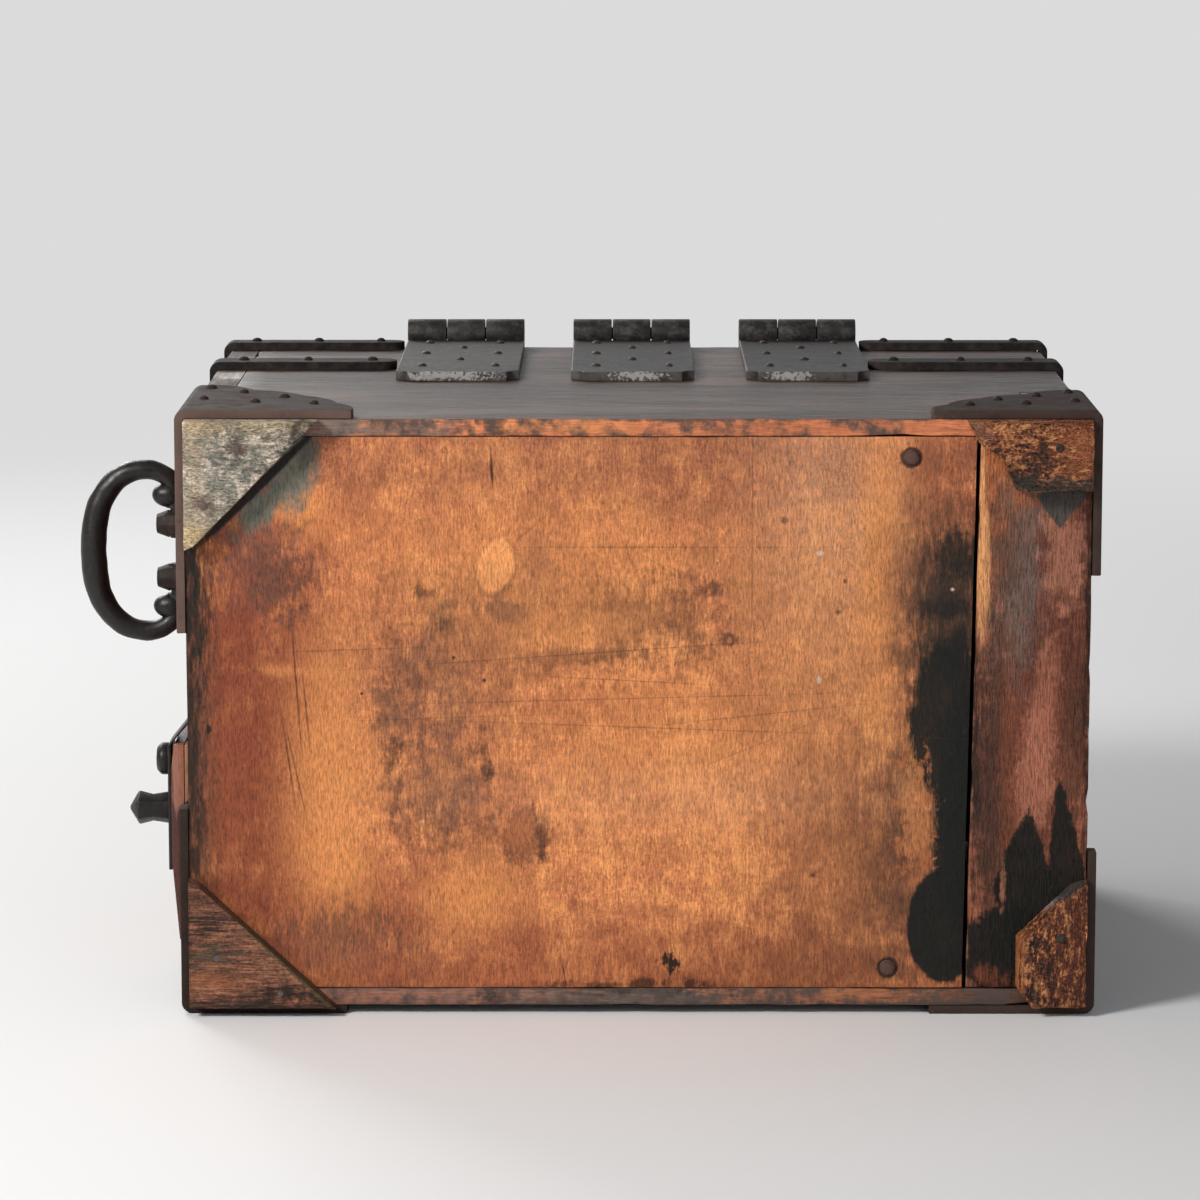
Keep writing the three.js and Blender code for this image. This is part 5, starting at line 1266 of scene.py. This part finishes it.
for edge_name, (side_x, side_z) in CORNERS.items():
    node = f"door_corner_iron_{edge_name}"
    low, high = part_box(node)
    reach = high.x - low.x
    shape = sheet_iron([(0, 0)] + scallops(reach, reach) + [(0, reach)], DOOR_IRON, DOOR_RIM)
    for index, (a, b) in enumerate(DOOR_RIVET_PLACES):
        spot = Vector((a * reach, b * reach, DOOR_IRON))
        dome(shape, spot, (0, 0, 1), RIVET * DOOR_RIVET_SHARE, RIVET_DOME * DOOR_RIVET_SHARE, 12, index)
    corner = Vector((low.x if side_x < 0 else high.x, low.y, low.z if side_z < 0 else high.z))
    lie = Matrix(((-side_x, 0, 0, 0), (0, 0, 1, 0), (0, -side_z, 0, 0), (0, 0, 0, 1)))
    bmesh.ops.transform(shape, matrix=Matrix.Translation(corner) @ lie, verts=shape.verts)
    seat(f"door_plate_{edge_name}", shape, corner_iron, "rusted_iron", node, body="door")


# Lock: a forged plate riveted to the door's face, with a round boss over the place of the key.
# Behind it a case of bent sheet holds a sliding bolt, which drops into the bottom board.
LOCK_ROUND = 0.4 * MM
LOCK_RIVET_SHARE = 0.42
BOSS_FOOT = 9.9 * MM
BOSS_TOP = 8.55 * MM
low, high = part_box("lock_plate")
half, tall = (high.x - low.x) / 2, high.z - low.z
foot_end = ogee_leaf(half, tall / 2, 0)[1:-1]
outline = foot_end + [(-a, -b) for a, b in foot_end]
shape = sheet_iron(outline, DOOR_IRON, DOOR_RIM)
for index, (a, b) in enumerate(((-1, -1), (1, -1), (-1, 1), (1, 1))):
    spot = Vector((a * LOCK_RIVET_SHARE * half * 2, b * LOCK_RIVET_SHARE * tall, DOOR_IRON))
    dome(shape, spot, (0, 0, 1), RIVET, RIVET_DOME, 12, index)
bmesh.ops.create_cone(
    shape, cap_ends=True, segments=28, radius1=BOSS_FOOT, radius2=BOSS_TOP, depth=RIVET_DOME,
    matrix=Matrix.Translation((0, 0, DOOR_IRON + RIVET_DOME / 3)),
)
lie = Matrix(((1, 0, 0, 0), (0, 0, 1, 0), (0, 1, 0, 0), (0, 0, 0, 1)))
middle = Vector(((low.x + high.x) / 2, low.y, (low.z + high.z) / 2))
bmesh.ops.transform(shape, matrix=Matrix.Translation(middle) @ lie, verts=shape.verts)
seat("lock_front", shape, leaf_iron, "steel_grey", "lock_plate", body="door")

black_iron = iron_finish(
    "black_iron", (0.009, 0.0078, 0.0075), (0.03, 0.016, 0.012), (0.04, 0.03, 0.026), 0.45, 0.35, 0.0,
    (0.28, 0.48), 0.3, gloss=0.4,
)


def eased(name, node, finish, slot, width, body="case"):
    """Seats a solid as it is, with its sharp edges taken off."""
    shape = stock(node)
    round_over(shape, width)
    seat(name, shape, finish, slot, node, body=body)


eased("lock_cover", "lock_case", black_iron, "black_iron", LOCK_ROUND, "door")
eased("lock_slide", "lock_bolt", black_iron, "black_iron", LOCK_ROUND, "bolt")


# Carrying handle: a swelling bail of forged bar, turned in at its ends to two round knobs,
# on two faceted posts that stand on washers and are clenched through the left board.
BAIL_SHARES = [(0.3, 0.72), (0.36, 0.9), (0.52, 1), (0.72, 0.95), (0.87, 0.76), (0.97, 0.45), (1, 0)]
GRIP = 7.2 * MM
ARM = 5.2 * MM
BAIL_SEGMENTS = 20
KNOB = 7 * MM
KNOB_WIDE = 1.38
KNOB_OUT = -3.2 * MM
KNOB_UP = 31 * MM
TRUNNION = 3 * MM
POST_HALF = 7.2 * MM
POST_ROUND = 0.5 * MM
WASHER_ROUND = 0.4 * MM
TIP_FROM = 1 * MM
TIP_SHORT = 2.6 * MM
TIP_WIDE = 1.22
BAIL_RINGS = 72
PATH_STEPS = 12
BAIL_INSET = 0.4 * MM
BAIL_HAMMER = 0.5 * MM
BAIL_HAMMER_SCALE = 130
ARM_END_SHARE = 0.72
PIVOT = Vector(next(joint["pos_m"] for joint in frame["joints"] if joint["name"] == "bail_swing"))
left_face = CASE_LOW.x
low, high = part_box("handle_bail")
handle_middle = Vector((left_face, PIVOT.y, PIVOT.z))
bail_reach = left_face - low.x - GRIP - BAIL_INSET
bail_half = (high.z - low.z) / 2 - (GRIP + ARM) / 2
upper = [Vector((-out * bail_reach, 0, up * bail_half)) for out, up in BAIL_SHARES]
path = upper + [Vector((spot.x, 0, -spot.z)) for spot in reversed(upper[:-1])]


def along_path(points, steps):
    """Evenly parted points of a smooth line through the given ones."""
    fine = []
    padded = [points[0] * 2 - points[1]] + points + [points[-1] * 2 - points[-2]]
    for index in range(1, len(padded) - 2):
        before, start, end, after = padded[index - 1:index + 3]
        for step in range(PATH_STEPS):
            t = step / PATH_STEPS
            fine.append(0.5 * (
                2 * start + (end - before) * t + (2 * before - 5 * start + 4 * end - after) * t * t
                + (3 * start - before - 3 * end + after) * t ** 3
            ))
    fine.append(points[-1])
    lengths = [0.0]
    for first, second in zip(fine, fine[1:]):
        lengths.append(lengths[-1] + (second - first).length)
    even, place = [], 0
    for index in range(steps + 1):
        target = lengths[-1] * index / steps
        while place < len(lengths) - 2 and lengths[place + 1] < target:
            place += 1
        span = lengths[place + 1] - lengths[place]
        even.append(fine[place].lerp(fine[place + 1], (target - lengths[place]) / span))
    return even


spots = along_path(path, BAIL_RINGS)
shape = bmesh.new()
rings = []
for index, spot in enumerate(spots):
    ahead = spots[min(index + 1, BAIL_RINGS)] - spots[max(index - 1, 0)]
    t = index / BAIL_RINGS
    radius = ARM + (GRIP - ARM) * sin(pi * t) ** 2
    turn = ahead.to_track_quat("Z", "Y").to_matrix().to_4x4()
    rings.append(bmesh.ops.create_circle(
        shape, segments=BAIL_SEGMENTS, radius=radius, matrix=Matrix.Translation(spot) @ turn,
    )["verts"])
loops = [list(dict.fromkeys(edge for vert in ring for edge in vert.link_edges)) for ring in rings]
for first, second in zip(loops, loops[1:]):
    bmesh.ops.bridge_loops(shape, edges=first + second)
bmesh.ops.holes_fill(shape, edges=[edge for edge in shape.edges if edge.is_boundary])
for vert in shape.verts:
    vert.co += noise.noise_vector(vert.co * BAIL_HAMMER_SCALE) * BAIL_HAMMER
pivot_out = PIVOT.x - left_face
arm_low = KNOB_UP - KNOB
arm_high = ARM_END_SHARE * bail_half
for side in (-1, 1):
    knob_at = Vector((pivot_out + KNOB_OUT, 0, side * KNOB_UP))
    bead = Matrix.Translation(knob_at) @ Matrix.Diagonal((KNOB_WIDE, 1, 1, 1))
    bmesh.ops.create_uvsphere(shape, u_segments=24, v_segments=16, radius=KNOB, matrix=bead)
    for bar, start, end in ((TRUNNION, POST_HALF, KNOB_UP), (ARM, arm_low, arm_high)):
        bmesh.ops.create_cone(
            shape, cap_ends=True, segments=20, radius1=bar, radius2=bar, depth=end - start,
            matrix=Matrix.Translation((pivot_out, 0, side * (start + end) / 2)),
        )
bmesh.ops.translate(shape, verts=shape.verts, vec=handle_middle)
seat("carrying_bail", shape, black_iron, "black_iron", "handle_bail", body="bail")

post_iron = iron_finish(
    "post_iron", (0.02, 0.0135, 0.0115), (0.045, 0.024, 0.018), (0.07, 0.045, 0.037), 0.6, 0.5, 0.0,
    (0.5, 0.7), 0.5, gloss=0.2,
)
for name in ("post_lower", "post_upper"):
    node = "handle_" + name
    shape = stock(node)
    low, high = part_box(node)
    middle = (low + high) / 2
    for vert in shape.verts:
        if vert.co.x < low.x + TIP_FROM:
            vert.co = Vector((
                vert.co.x + TIP_SHORT, middle.y + (vert.co.y - middle.y) * TIP_WIDE,
                middle.z + (vert.co.z - middle.z) * TIP_WIDE,
            ))
    round_over(shape, POST_ROUND)
    seat(name, shape, post_iron, "black_iron", node)
for name in ("washer_lower", "washer_upper"):
    eased(name, "handle_" + name, black_iron, "black_iron", WASHER_ROUND)


# Guard: a red lacquered bar on two raw spacers low on the left board, with a flat iron strap over it,
# a stud and a turning post that pass through them.
BAR_ROUND = 1.4 * MM
BAR_CUTS = 9 * MM
SPACER_ROUND = 0.7 * MM
STRAP_ROUND = 0.5 * MM
STUD_ROUND = 0.6 * MM
TURN_ROUND = 0.7 * MM
low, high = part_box("guard_bar")
bar_end = ((low.x + high.x) / 2 + 2 * MM, low.y, high.z)
red_lacquer = wood_finish(
    "red_lacquer", (1, 1, 0.1), [(0.06, 0.013, 0.008), (0.11, 0.022, 0.011), (0.15, 0.032, 0.016)],
    [(PINK, bar_end, (6 * MM, 5 * MM, 36 * MM), 0, 0.12, 0.2, 0.95, "streak")],
    worn=(0.2, 0.06, 0.03), rough=(0.18, 0.32), wear=0.4, fibre_depth=0.25, relief=0.1, gloss=0.5,
)
raw_end = wood_finish(
    "raw_end", (1, 1, 0.1), [(0.12, 0.05, 0.03), (0.22, 0.09, 0.05), (0.3, 0.13, 0.07)],
    worn=(0.3, 0.14, 0.08), rough=(0.6, 0.85),
)
shape = stock("guard_bar")
cut_across(shape, BAR_CUTS, (1, 2))
round_over(shape, BAR_ROUND, 3)
seat("guard_rail", shape, red_lacquer, "lacquer", "guard_bar")
for name in ("spacer_upper", "spacer_lower"):
    eased(name, "guard_" + name, raw_end, "raw_wood", SPACER_ROUND)
eased("flat_strap", "guard_strap", black_iron, "black_iron", STRAP_ROUND)
eased("round_stud", "guard_stud", black_iron, "black_iron", STUD_ROUND)
eased("turning_post", "turn_post", black_iron, "black_iron", TURN_ROUND, "post")
